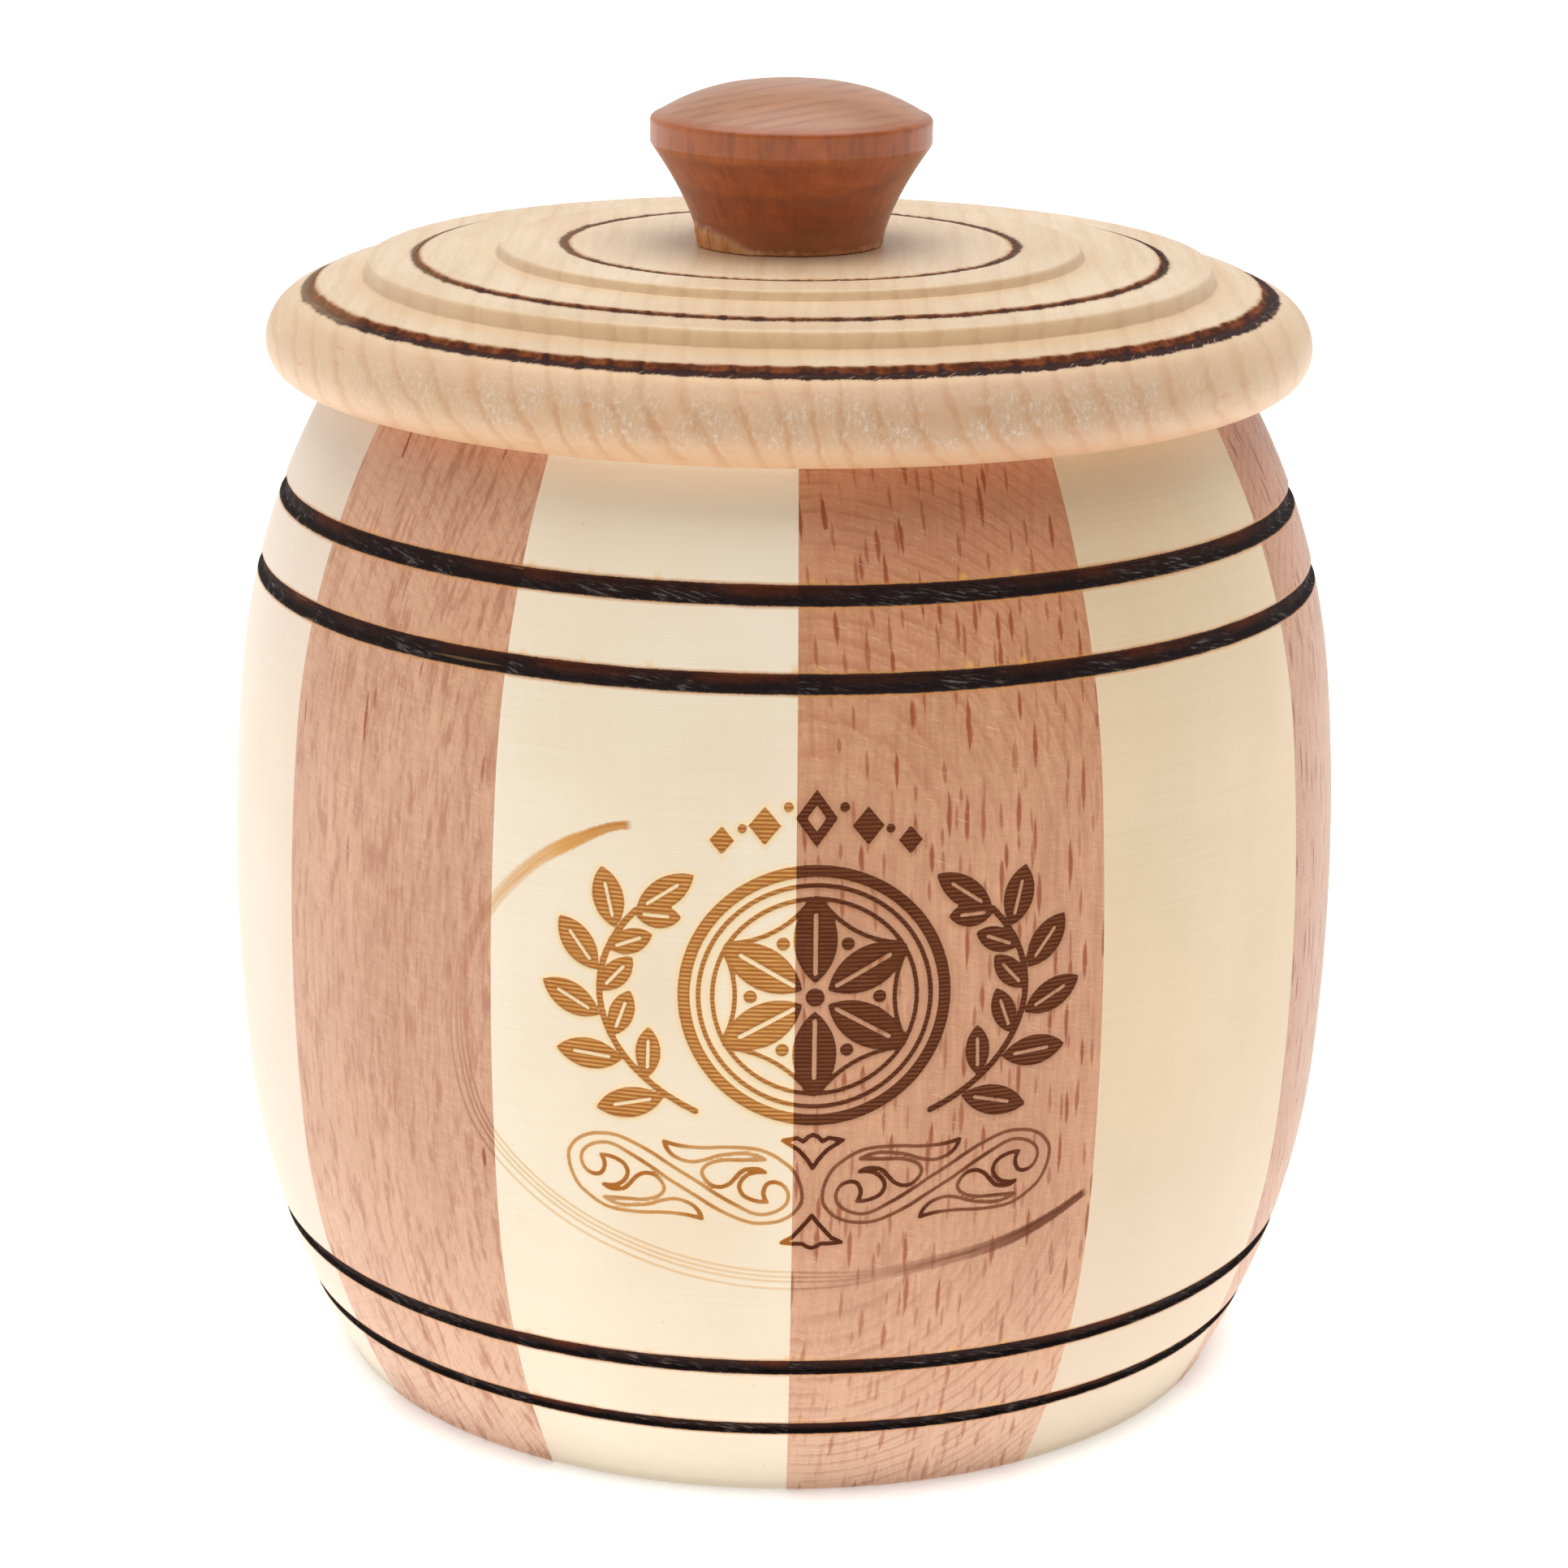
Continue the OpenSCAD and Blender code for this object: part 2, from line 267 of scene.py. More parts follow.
def scroll_frieze(x, y):
    """Two mirrored S-scrolls with leaf curls and a trefoil above and below between them."""
    swap = [(-a, -b) for a, b in ARM_CURL]
    one = np.vstack([spline(ARM_OUT + swap)[:-1]]
                    + [-spline(c)[:-1] for c in (ARM_LEAF_1, ARM_LEAF_2, ARM_LEAF_3)])
    s_line = np.vstack([one, -one])
    top = [(0, -12.1), (0.5, -11.25), (1.25, -10.35), (2.65, -9.4), (1.4, -9.15), (0.85, -9.5), (0.4, -9.0)]
    top = np.array(top + [(0, -8.85)] + [(-a, b) for a, b in reversed(top[1:])])
    low = [(0, -16.8), (0.5, -17.5), (1.2, -18.35), (1.75, -19.0), (2.7, -19.55), (1.7, -19.65), (0.85, -19.65), (0.4, -19.95)]
    low = np.array(low + [(0, -20.1)] + [(-a, b) for a, b in reversed(low[1:])])
    d = np.full(x.shape, -3.0)
    bold = np.zeros(x.shape)
    near = (np.abs(x - AXIS) < 24.5) & (y > -22) & (y < -7.5)
    if near.any():
        xn, yn = x[near] - AXIS, y[near]
        u, v = -np.abs(xn) + 11.65, yn + 13.7
        d1 = to_outline(u, v, s_line)
        d2 = np.maximum(to_outline(xn, yn, top), to_outline(xn, yn, low))
        tref = np.abs(d2) < np.abs(d1)
        d[near] = np.where(tref, d2, d1)
        # the burn is deeper in the curls than along the outer lines
        r = np.minimum(np.hypot((u - 5.6) / 3.4, v / 2.3), np.hypot((u + 5.6) / 3.4, v / 2.3))
        tips = np.minimum(np.hypot(u + 1.6, v - 3.4), np.hypot(u - 1.6, v + 3.4))
        bold[near] = np.where(tref, 1.0, np.maximum(0.30 + 0.62 * (1 - smooth(0.75, 1.25, r)), 0.9 - 0.5 * smooth(0.5, 2.6, tips)))
    return d, bold


STROKE = [(-13.4, 19.3), (-15.6, 18.9), (-18.6, 17.5), (-22.0, 15.5), (-24.9, 12.9), (-27.5, 9.7), (-29.5, 5.8),
          (-30.4, 0.5), (-30.1, -4.9), (-28.4, -10.3), (-24.5, -14.6), (-18.8, -18.4), (-12.0, -21.1), (-5.8, -22.6),
          (0.2, -23.2), (8.0, -23.1), (15.7, -22.0), (21.6, -20.8), (26.0, -19.1), (29.9, -17.1)]


def oval_stroke(x, y):
    """Signed distance to the open oval stroke, above zero on its inner side, and 0..1 along it."""
    line = spline(STROKE, 5)
    seg = np.hypot(*(line[1:] - line[:-1]).T)
    at = np.concatenate([[0], np.cumsum(seg)])
    at /= at[-1]
    best = np.full(x.shape, 1e9)
    side = np.ones(x.shape)
    along = np.zeros(x.shape)
    for i in range(len(line) - 1):
        a, b = line[i], line[i + 1]
        ax, ay = b[0] - a[0], b[1] - a[1]
        t = ((x - a[0]) * ax + (y - a[1]) * ay) / (ax * ax + ay * ay)
        tc = np.clip(t, 0, 1)
        e = np.hypot(x - a[0] - tc * ax, y - a[1] - tc * ay)
        hit = e < best
        best = np.where(hit, e, best)
        side = np.where(hit, np.sign(ax * (y - a[1]) - ay * (x - a[0])), side)
        run = at[i] + (at[i + 1] - at[i]) * (t if i in (0, len(line) - 2) else tc)
        along = np.where(hit, run, along)
    return best * side, along


# --------------------------------------------------------------------------
# Meshes
# --------------------------------------------------------------------------
def make_object(name, co, faces, sharp_deg, attributes):
    me = bpy.data.meshes.new(name)
    me.from_pydata((co * 0.001).tolist(), [], faces)
    me.validate()
    for key, values in attributes.items():
        at = me.attributes.new(key, "FLOAT", "POINT")
        at.data.foreach_set("value", np.asarray(values, np.float32))
    me.shade_smooth()
    me.set_sharp_from_angle(angle=math.radians(sharp_deg))
    ob = bpy.data.objects.new(name, me)
    bpy.context.scene.collection.objects.link(ob)
    return ob


def grid_faces(rows, cols, closed_rows=False, closed_cols=False):
    """Quads of a grid of rows by cols points; rows go up or inward, cols go round."""
    i = np.arange(rows if closed_rows else rows - 1)
    j = np.arange(cols if closed_cols else cols - 1)
    I, J = np.meshgrid(i, j, indexing="ij")
    I2, J2 = (I + 1) % rows, (J + 1) % cols
    return np.stack([I * cols + J, I * cols + J2, I2 * cols + J2, I2 * cols + J], -1).reshape(-1, 4)


def groove_place(z, angle):
    """Distance in mm inside the nearest groove (below zero outside), and -1..1 across it."""
    best = np.full(np.shape(z), -9.0)
    across = np.zeros(np.shape(z))
    for i, (gz, gw) in enumerate(zip(GROOVE_Z, GROOVE_W)):
        mid = gz + 0.02 * ripple(angle, 40 + i, 2, 14)
        half = gw / 2 + 0.012 * ripple(angle, 60 + i, 10, 90)
        e = half - np.abs(z - mid)
        across = np.where(e > best, (z - mid) / half, across)
        best = np.maximum(best, e)
    return best, np.clip(across, -1.5, 1.5)


def outer_rows(step, fine=None):
    """Heights of the rows up the outside, closer together at the grooves."""
    zs = [0.75]
    edges = []
    for gz, gw in zip(GROOVE_Z, GROOVE_W):
        edges += [gz + gw * f for f in (-0.9, -0.7, -0.58, -0.5, -0.43, -0.36, -0.29, -0.2, -0.1,
                                        0, 0.1, 0.2, 0.29, 0.36, 0.43, 0.5, 0.58, 0.7, 0.9)]
    stops = [0.75] + edges + [BARREL_H - 0.6]
    if fine:
        stops = sorted(set(stops + [fine[0], fine[1]]))
    for a, b in zip(stops[:-1], stops[1:]):
        s = step
        if fine and a >= fine[0] - 1e-6 and b <= fine[1] + 1e-6:
            s = fine[2]
        n = max(1, math.ceil((b - a) / s - 1e-6))
        zs += [a + (b - a) * (i + 1) / n for i in range(n)]
    return np.array(zs)


def make_stave(name, k, engraved):
    a0, a1 = math.radians(joint_deg(k)), math.radians(joint_deg(k + 1))
    if engraved:
        cols = int(math.degrees(a1 - a0) / 0.208)
        zs = outer_rows(0.6, (22.0, 76.0, 0.2))
    else:
        cols = int(math.degrees(a1 - a0) / 0.6)
        zs = outer_rows(0.8)
    ang = np.linspace(a0, a1, cols + 1)
    r, z, outer, inner = [], [], [], []

    def put(rr, zz, o=0, i=0):
        r.append(float(rr)); z.append(float(zz)); outer.append(o); inner.append(i)

    # round the foot
    f = 0.75
    for t in (-90, -68, -45, -22):
        put(out_r(f) - f + f * math.cos(rad(t)) , f + f * math.sin(rad(t)), 1)
    for zz in zs:
        put(out_r(zz), zz, 1)
    # rim
    t0 = 0.6
    for t in (30, 60, 90):
        put(out_r(BARREL_H - t0) - t0 * 0.9 + t0 * 0.9 * math.cos(rad(t)), BARREL_H - t0 + t0 * math.sin(rad(t)), 1)
    for rr in (42.2, 40.2):
        put(rr, BARREL_H, 0, 1)
    for t in (90, 60, 30, 0):
        put(MOUTH_R + t0 - t0 * math.cos(rad(t)), BARREL_H - t0 + t0 * math.sin(rad(t)), 0, 1)
    for zz in np.linspace(BARREL_H - 1.6, HOLLOW_TOP + 0.3, 10):
        put(MOUTH_R, zz, 0, 1)
    for zz in np.linspace(HOLLOW_TOP, BOTTOM_T, 64):
        put(in_r(zz), zz, 0, 1)
    put(BOTTOM_R, BOTTOM_T); put(BOTTOM_R, 4.0); put(BOTTOM_R, 0.35); put(BOTTOM_R + 0.35, 0.0)
    r, z, outer, inner = map(np.array, (r, z, outer, inner))
    rows = len(r)
    A = np.broadcast_to(ang, (rows, cols + 1))
    Z = np.broadcast_to(z[:, None], A.shape)
    R = np.repeat(r[:, None], cols + 1, 1)
    O = np.broadcast_to(outer[:, None], A.shape) > 0
    gd, gv = groove_place(Z, A)
    gd = np.where(O, gd, -9.0)
    depth = GROOVE_D * (1 + 0.12 * ripple(A, 7, 10, 90))
    cutd = depth * smooth(0.0, 0.42, gd)
    extra = {}
    if engraved:
        s = ORN_R * ((A + PI / 2 + PI) % (2 * PI) - PI)
        h = Z - ORN_Z
        eng = np.where(O, medallion(s, h), -9.0)
        cutd = cutd + 0.10 * smooth(-0.08, 0.16, eng)
        lin, bold = scroll_frieze(s, h)
        arc, along = oval_stroke(s, h)
        extra = {"eng": np.clip(eng, -2, 1.2), "lin": np.where(O, np.clip(lin, -3, 3), -3.0), "bold": bold,
                 "arc": np.where(O, np.clip(arc, -9, 9), -9.0), "along": np.clip(along, -0.1, 1.1)}
    # the sander leaves the wall a hair uneven
    cutd = cutd + np.where(O, 0.012 * (ripple(A, 3, 3, 24) * np.sin(Z * 0.21 + 1.3 * np.sin(A * 3)) + 1.2), 0)
    R = R - np.where(O, cutd, 0)
    # turning ridges inside
    I = np.broadcast_to(inner[:, None], A.shape) > 0
    R = R + np.where(I & (Z < BARREL_H - 2), 0.02 * np.sin(Z * 2 * PI / 3.9 + 0.3 * ripple(A, 5, 2, 9)), 0)
    co = np.stack([R * np.cos(A), R * np.sin(A), Z], -1).reshape(-1, 3)
    q = grid_faces(rows, cols + 1, closed_rows=True)
    faces = q.tolist()
    c = cols + 1
    faces.append([i * c for i in range(rows)])
    faces.append([i * c + cols for i in reversed(range(rows))])
    return make_object(name, co, faces, 38, {
        "gd": np.clip(gd, -9, 3).ravel(), "gv": gv.ravel(), "raw": I.astype(float).ravel(),
        **{key: v.ravel() for key, v in extra.items()}})


def rounded(points, n=5):
    """Rounds each corner of a polyline of (r, z, radius)."""
    out = [points[0][:2]]
    for a, b, c in zip(points[:-2], points[1:-1], points[2:]):
        p0, p1, p2 = np.array(a[:2]), np.array(b[:2]), np.array(c[:2])
        u, v = p0 - p1, p2 - p1
        lu, lv = np.linalg.norm(u), np.linalg.norm(v)
        u, v = u / lu, v / lv
        cosang = float(np.clip(u @ v, -1, 1))
        half = math.acos(cosang) / 2
        if b[2] <= 0 or half > PI / 2 - 0.02:
            out.append(tuple(p1))
            continue
        d = min(b[2] / math.tan(half), 0.48 * lu, 0.48 * lv)
        for i in range(n + 1):
            t = i / n
            q = (1 - t) ** 2 * (p1 + u * d) + 2 * t * (1 - t) * p1 + t ** 2 * (p1 + v * d)
            out.append(tuple(q))
    out.append(points[-1][:2])
    return out


def resampled(points, step):
    """No stretch of the polyline is longer than step(r, z)."""
    out = [points[0]]
    for p, q in zip(points[:-1], points[1:]):
        d = math.hypot(q[0] - p[0], q[1] - p[1])
        n = max(1, math.ceil(d / step((p[0] + q[0]) / 2, (p[1] + q[1]) / 2)))
        out += [(p[0] + (q[0] - p[0]) * i / n, p[1] + (q[1] - p[1]) * i / n) for i in range(1, n + 1)]
    return out


def lathe(name, profile, cols, shape, sharp_deg):
    """Turns a profile that starts and ends on the axis. shape(A, R, Z) gives moved R, Z and attributes."""
    ang = np.linspace(0, 2 * PI, cols, endpoint=False)
    body = profile[1:-1]
    R = np.repeat(np.array([p[0] for p in body])[:, None], cols, 1)
    Z = np.repeat(np.array([p[1] for p in body])[:, None], cols, 1)
    A = np.broadcast_to(ang, R.shape)
    R, Z, at = shape(A, R, Z)
    co = np.stack([R * np.cos(A), R * np.sin(A), Z], -1).reshape(-1, 3)
    co = np.vstack([co, [0, 0, profile[0][1]], [0, 0, profile[-1][1]]])
    rows = len(body)
    faces = grid_faces(rows, cols, closed_cols=True).tolist()
    first, last = rows * cols, rows * cols + 1
    for j in range(cols):
        j2 = (j + 1) % cols
        faces.append([first, j2, j])
        faces.append([last, (rows - 1) * cols + j, (rows - 1) * cols + j2])
    attributes = {k: np.concatenate([v.ravel(), [v[0, 0], v[-1, 0]]]) for k, v in at.items()}
    return make_object(name, co, faces, sharp_deg, attributes)


# --- lid --------------------------------------------------------------------
LID_Z = 99.1
CROWN_Z = LID_Z + 12.2
LID_R, EDGE_H = 50.9, 3.3
EDGE_Z = LID_Z + EDGE_H
RING_R = (22.0, 36.4, 46.7)
RING_W = (1.2, 1.4, 1.6)
RING_D = 0.35
SPIGOT_R, SPIGOT_H, SPIGOT_W, DISH_H = 36.8, 6.1, 6.0, 3.5
TENON_R, TENON_H = 4.5, 9.8


def make_lid(name):
    c = CROWN_Z
    brow_r, brow_z = RING_R[2] + RING_W[2] / 2, c - 4.4
    brow_a = 2 * math.atan((LID_R - brow_r) / (brow_z - EDGE_Z))
    brow_arc = (brow_z - EDGE_Z) / math.sin(brow_a)
    top = [(0, c - TENON_H - 0.2, 0), (TENON_R + 0.05, c - TENON_H - 0.2, 0), (TENON_R + 0.05, c, 0),
           (25.5, c + 0.12, 2.0), (28.18, c + 0.11, 0.42), (28.62, c - 0.89, 0.14),
           (35.7, c - 0.92, 1.0), (37.1, c - 1.27, 1.0),
           (39, c - 1.24, 2.0), (40.94, c - 1.31, 0.55), (41.42, c - 2.95, 0.16), (44.2, c - 3.2, 2.0),
           (45.9, c - 3.56, 1.5), (brow_r, brow_z, 1.2)]
    edge = [(LID_R - brow_arc + brow_arc * math.cos(t), EDGE_Z + brow_arc * math.sin(t), 0)
            for t in np.linspace(brow_a, 0, 16)[1:]]
    edge += [(LID_R - EDGE_H + EDGE_H * math.cos(t), EDGE_Z + EDGE_H * math.sin(t), 0)
             for t in np.linspace(0, -PI / 2, 13)[1:]]
    under = [(SPIGOT_R, LID_Z, 0.35), (SPIGOT_R, LID_Z - SPIGOT_H, 0.7),
             (SPIGOT_R - SPIGOT_W, LID_Z - SPIGOT_H, 0.6),
             (SPIGOT_R - SPIGOT_W - 1.2, LID_Z - SPIGOT_H + DISH_H, 0.8),
             (0, LID_Z - SPIGOT_H + DISH_H, 0)]
    line = rounded(top + edge + under, 5)

    def step(r, z):
        if z < LID_Z + 0.4 and r < 46:
            return 1.6
        if r < 20:
            return 1.2
        for rr, rw in zip(RING_R, RING_W):
            if z > 104 and abs(r - rr) < rw * 0.9:
                return 0.15
        if z > 104 and (abs(r - 28.4) < 0.7 or abs(r - 41.1) < 0.7):
            return 0.2
        return 0.58

    line = resampled(line, step)

    def shape(A, R, Z):
        topside = Z > LID_Z + 2.5
        gd = np.full(R.shape, -9.0)
        gv = np.zeros(R.shape)
        gs = np.ones(R.shape)
        # the wire burnt wider on the right than on the left, and weakest at the far left
        lean = smooth(-0.9, 0.55, np.cos(A) + 0.22 * ripple(A, 190, 2, 9))
        left = smooth(-0.97, -0.80, np.cos(A) + 0.03 * ripple(A, 191, 5, 40))
        wide = (0.80, 0.60, 0.88 + 0.22 * lean)
        hard = (0.74 + 0.14 * left, 0.72 + 0.24 * left, 0.66 + 0.34 * left)
        for i, (rr, rw) in enumerate(zip(RING_R, RING_W)):
            mid = rr + 0.05 * ripple(A, 140 + i, 3, 30) + 0.03 * ripple(A, 150 + i, 60, 200)
            half = rw / 2 * wide[i] * (1 + 0.09 * ripple(A, 160 + i, 30, 190))
            e = np.where(topside, half - np.abs(R - mid), -9.0)
            gv = np.where(e > gd, (mid - R) / half, gv)
            gs = np.where(e > gd, hard[i], gs)
            gd = np.maximum(gd, e)
        cut = smooth(0.0, 0.3, gd) * smooth(-0.55, 0.05, gv)
        Z2 = Z - 0.7 * RING_D * cut * (1 + 0.15 * ripple(A, 170, 20, 120))
        # end grain at the front and back is torn a little by the tool
        endgrain = np.abs(np.sin(A)) ** 2
        rim = smooth(43, 49, R) * smooth(LID_Z - 0.5, LID_Z + 1.5, Z)
        rough = 0.03 * ripple(A + 0.02 * np.sin(Z * 2.3), 180, 120, 520, 14) * np.sin(Z * 3.1 + 4 * ripple(A, 181, 5, 60))
        R2 = R - np.where(R > 43, np.abs(rough) * endgrain * rim, 0)
        dip = 0.025 * ripple(A, 183, 6, 70) * smooth(40.2, 41.2, R) * (1 - smooth(42, 43, R))
        Z2 = Z2 + np.where(topside, dip, 0)
        raw = np.where((R < SPIGOT_R + 0.1) & (Z < LID_Z + 0.2), 1.0, 0.0)
        wall = smooth(40.7, 41.0, R) * (1 - smooth(41.36, 41.5, R)) + smooth(28.0, 28.25, R) * (1 - smooth(28.56, 28.7, R))
        ny = endgrain * np.where(topside & (R < 43), wall, smooth(45.5, 48.5, R) * (Z > LID_Z))
        return R2, Z2, {"gd": np.clip(gd, -9, 3), "gv": np.clip(gv, -1.5, 1.5), "gs": gs, "end": ny, "raw": raw}

    return lathe(name, line, 426, shape, 50)


# --- knob -------------------------------------------------------------------
KNOB_BASE, KNOB_R, NECK_H, BAND_H, DOME_H = 9.0, 13.7, 9.6, 2.7, 3.4


def make_knob(name):
    c = CROWN_Z
    rim = c + NECK_H
    foot = KNOB_R - 0.25
    dome_top = c + NECK_H + BAND_H + DOME_H - 0.01
    line = [(0, c - TENON_H, 0), (TENON_R, c - TENON_H, 0.4), (TENON_R, c, 0), (KNOB_BASE - 0.25, c + 0.01, 0.1)]
    for t in np.linspace(0.02, 1, 40):
        line.append((KNOB_BASE + (KNOB_R - 0.17 - KNOB_BASE) * t ** 1.5, c + NECK_H * t, 0))
    line += [(KNOB_R - 0.03, rim + 0.30, 0.5), (KNOB_R - 0.02, rim + BAND_H - 0.03, 0.62)]
    for rr in np.linspace(foot - 0.70, 0, 36):
        line.append((rr, dome_top - DOME_H * (rr / foot) ** 2.6, 0))
    line = resampled(rounded(line, 4), lambda r, z: 1.5 if z < c else 0.24)

    def shape(A, R, Z):
        h = Z - c
        # the foot of the knob is ragged, with one torn splinter at its left
        ragged = (1 - smooth(0.0, 1.3, h)) * (h > -0.01)
        R2 = R + ragged * (0.07 * ripple(A, 210, 8, 60) + 0.05 * ripple(A, 211, 60, 180))
        d = (A - math.radians(222) + PI) % (2 * PI) - PI
        top = 2.3 - 1.9 * smooth(-0.1, 0.62, d) + 0.10 * ripple(A, 212, 6, 34)
        splinter = smooth(-0.52, -0.40, d) * (1 - smooth(0.42, 0.66, d)) * (h > -0.01)
        mask = splinter * (1 - smooth(top - 0.75, top + 0.15, h))
        R2 = R2 + mask * (0.44 + 0.1 * ripple(A, 213, 40, 160))
        # it was sanded by hand
        R2 = R2 * (1 + np.where(h > 0.2, 0.0012 * ripple(A, 214, 2, 9), 0))
        keep = np.where(R < TENON_R + 0.02, R, R2)
        keep = np.minimum(keep, KNOB_R - 0.005)
        return keep, Z, {"chip": mask, "low": ragged}

    return lathe(name, line, 300, shape, 42)


# --- bottom -----------------------------------------------------------------
def make_bottom(name):
    line = [(0, 0, 0), (BOTTOM_R - 0.02, 0, 0.45), (BOTTOM_R - 0.02, BOTTOM_T, 0), (0, BOTTOM_T, 0)]
    line = resampled(rounded(line, 5), lambda r, z: 1.0)

    def shape(A, R, Z):
        lift = 0.02 * np.sin(R * 2 * PI / 2.7 + 0.4 * np.sin(A * 2)) * smooth(1, 4, R) * (1 - smooth(36, 38, R))
        Z2 = Z + np.where(Z > 7.9, lift - 0.02, 0)
        return R, Z2, {"raw": (Z > 7.5).astype(float)}

    return lathe(name, line, 180, shape, 40)


# --------------------------------------------------------------------------
# Materials
# --------------------------------------------------------------------------
class Tree:
    """Short names for building a node tree."""

    def __init__(self, name):
        self.mat = bpy.data.materials.new(name)
        self.mat.use_nodes = True
        self.nt = self.mat.node_tree
        self.nt.nodes.clear()
        self.out = self.nt.nodes.new("ShaderNodeOutputMaterial")
        self.bsdf = self.nt.nodes.new("ShaderNodeBsdfPrincipled")
        self.nt.links.new(self.bsdf.outputs[0], self.out.inputs[0])

    def node(self, kind, **props):
        n = self.nt.nodes.new(kind)
        for k, v in props.items():
            setattr(n, k, v)
        return n

    def put(self, socket, value):
        if isinstance(value, bpy.types.NodeSocket):
            self.nt.links.new(value, socket)
        elif value is not None:
            socket.default_value = value

    def m(self, op, a, b=None, c=None, clamp=False):
        n = self.node("ShaderNodeMath", operation=op, use_clamp=clamp)
        for s, v in zip(n.inputs, (a, b, c)):
            self.put(s, v)
        return n.outputs[0]

    def add(self, a, b): return self.m("ADD", a, b)
    def sub(self, a, b): return self.m("SUBTRACT", a, b)
    def mul(self, a, b): return self.m("MULTIPLY", a, b)
    def mad(self, a, b, c): return self.m("MULTIPLY_ADD", a, b, c)

    def step(self, a, b, x, lo=0.0, hi=1.0):
        n = self.node("ShaderNodeMapRange", interpolation_type="SMOOTHSTEP", clamp=True)
        for key, v in (("Value", x), ("From Min", a), ("From Max", b), ("To Min", lo), ("To Max", hi)):
            self.put(n.inputs[key], v)
        return n.outputs[0]

    def line(self, a, b, x, lo=0.0, hi=1.0):
        n = self.node("ShaderNodeMapRange", interpolation_type="LINEAR", clamp=True)
        for key, v in (("Value", x), ("From Min", a), ("From Max", b), ("To Min", lo), ("To Max", hi)):
            self.put(n.inputs[key], v)
        return n.outputs[0]

    def mix(self, f, a, b, blend="MIX"):
        n = self.node("ShaderNodeMix", data_type="RGBA", blend_type=blend, clamp_factor=True)
        self.put(n.inputs[0], f)
        for s, v in ((n.inputs[6], a), (n.inputs[7], b)):
            self.put(s, v if isinstance(v, bpy.types.NodeSocket) else (*v, 1.0))
        return n.outputs[2]

    def vec(self, x, y, z):
        n = self.node("ShaderNodeCombineXYZ")
        for s, v in zip(n.inputs, (x, y, z)):
            self.put(s, v)
        return n.outputs[0]

    def scaled(self, v, k, shift=(0, 0, 0)):
        n = self.node("ShaderNodeMapping", vector_type="POINT")
        self.put(n.inputs["Vector"], v)
        n.inputs["Scale"].default_value = k
        n.inputs["Location"].default_value = shift
        return n.outputs[0]

    def noise(self, v, detail=2.0, rough=0.5, bend=0.0):
        n = self.node("ShaderNodeTexNoise", noise_dimensions="3D")
        self.put(n.inputs["Vector"], v)
        n.inputs["Scale"].default_value = 1.0
        n.inputs["Detail"].default_value = detail
        n.inputs["Roughness"].default_value = rough
        n.inputs["Distortion"].default_value = bend
        return n.outputs[0]

    def attr(self, name):
        n = self.node("ShaderNodeAttribute", attribute_name=name)
        return n.outputs["Fac"]

    def place(self, turn=0.0):
        """Object coordinates in mm, turned about Z: (out of the stave, along its width, up)."""
        t = self.node("ShaderNodeTexCoord")
        n = self.node("ShaderNodeMapping", vector_type="POINT")
        self.put(n.inputs["Vector"], t.outputs["Object"])
        n.inputs["Scale"].default_value = (1000, 1000, 1000)
        n.inputs["Rotation"].default_value = (0, 0, -turn)
        s = self.node("ShaderNodeSeparateXYZ")
        self.put(s.inputs[0], n.outputs[0])
        return n.outputs[0], s.outputs[0], s.outputs[1], s.outputs[2]

    def flecks(self, u, z, cell, size, seed, fill=0.75):
        """Short spindles that stand along z: cell and size are (width, height) in mm."""
        cu = self.mad(u, 1 / cell[0], seed * 3.17)
        cz = self.mad(z, 1 / cell[1], seed * 1.73)
        n = self.node("ShaderNodeTexVoronoi", voronoi_dimensions="2D", feature="F1")
        n.inputs["Scale"].default_value = 1.0
        n.inputs["Randomness"].default_value = 1.0
        self.put(n.inputs["Vector"], self.vec(cu, cz, 0.0))
        p = self.node("ShaderNodeSeparateXYZ")
        self.put(p.inputs[0], n.outputs["Position"])
        rnd = self.node("ShaderNodeSeparateColor")
        self.put(rnd.inputs[0], n.outputs["Color"])
        du = self.mul(self.m("ABSOLUTE", self.sub(cu, p.outputs[0])), cell[0] / (size[0] * 0.5))
        dz = self.mul(self.sub(cz, p.outputs[1]), cell[1] / (size[1] * 0.5))
        dz = self.m("DIVIDE", dz, self.line(0, 1, rnd.outputs[1], 0.55, 1.25))
        d = self.add(du, self.mul(dz, dz))
        body = self.step(1.0, 0.35, d)
        return self.mul(body, self.step(1.0 - fill, 1.0 - 0.5 * fill, rnd.outputs[0], 0.0, 1.0))

    def done(self, colour, rough, height=None, dist=0.001, strength=1.0, specular=0.4):
        b = self.bsdf.inputs
        self.put(b["Base Color"], colour)
        self.put(b["Roughness"], rough)
        self.put(b["Specular IOR Level"], specular)
        if height is not None:
            n = self.node("ShaderNodeBump")
            n.inputs["Strength"].default_value = strength
            n.inputs["Distance"].default_value = dist
            self.put(n.inputs["Height"], height)
            self.put(b["Normal"], n.outputs[0])
        return self.mat


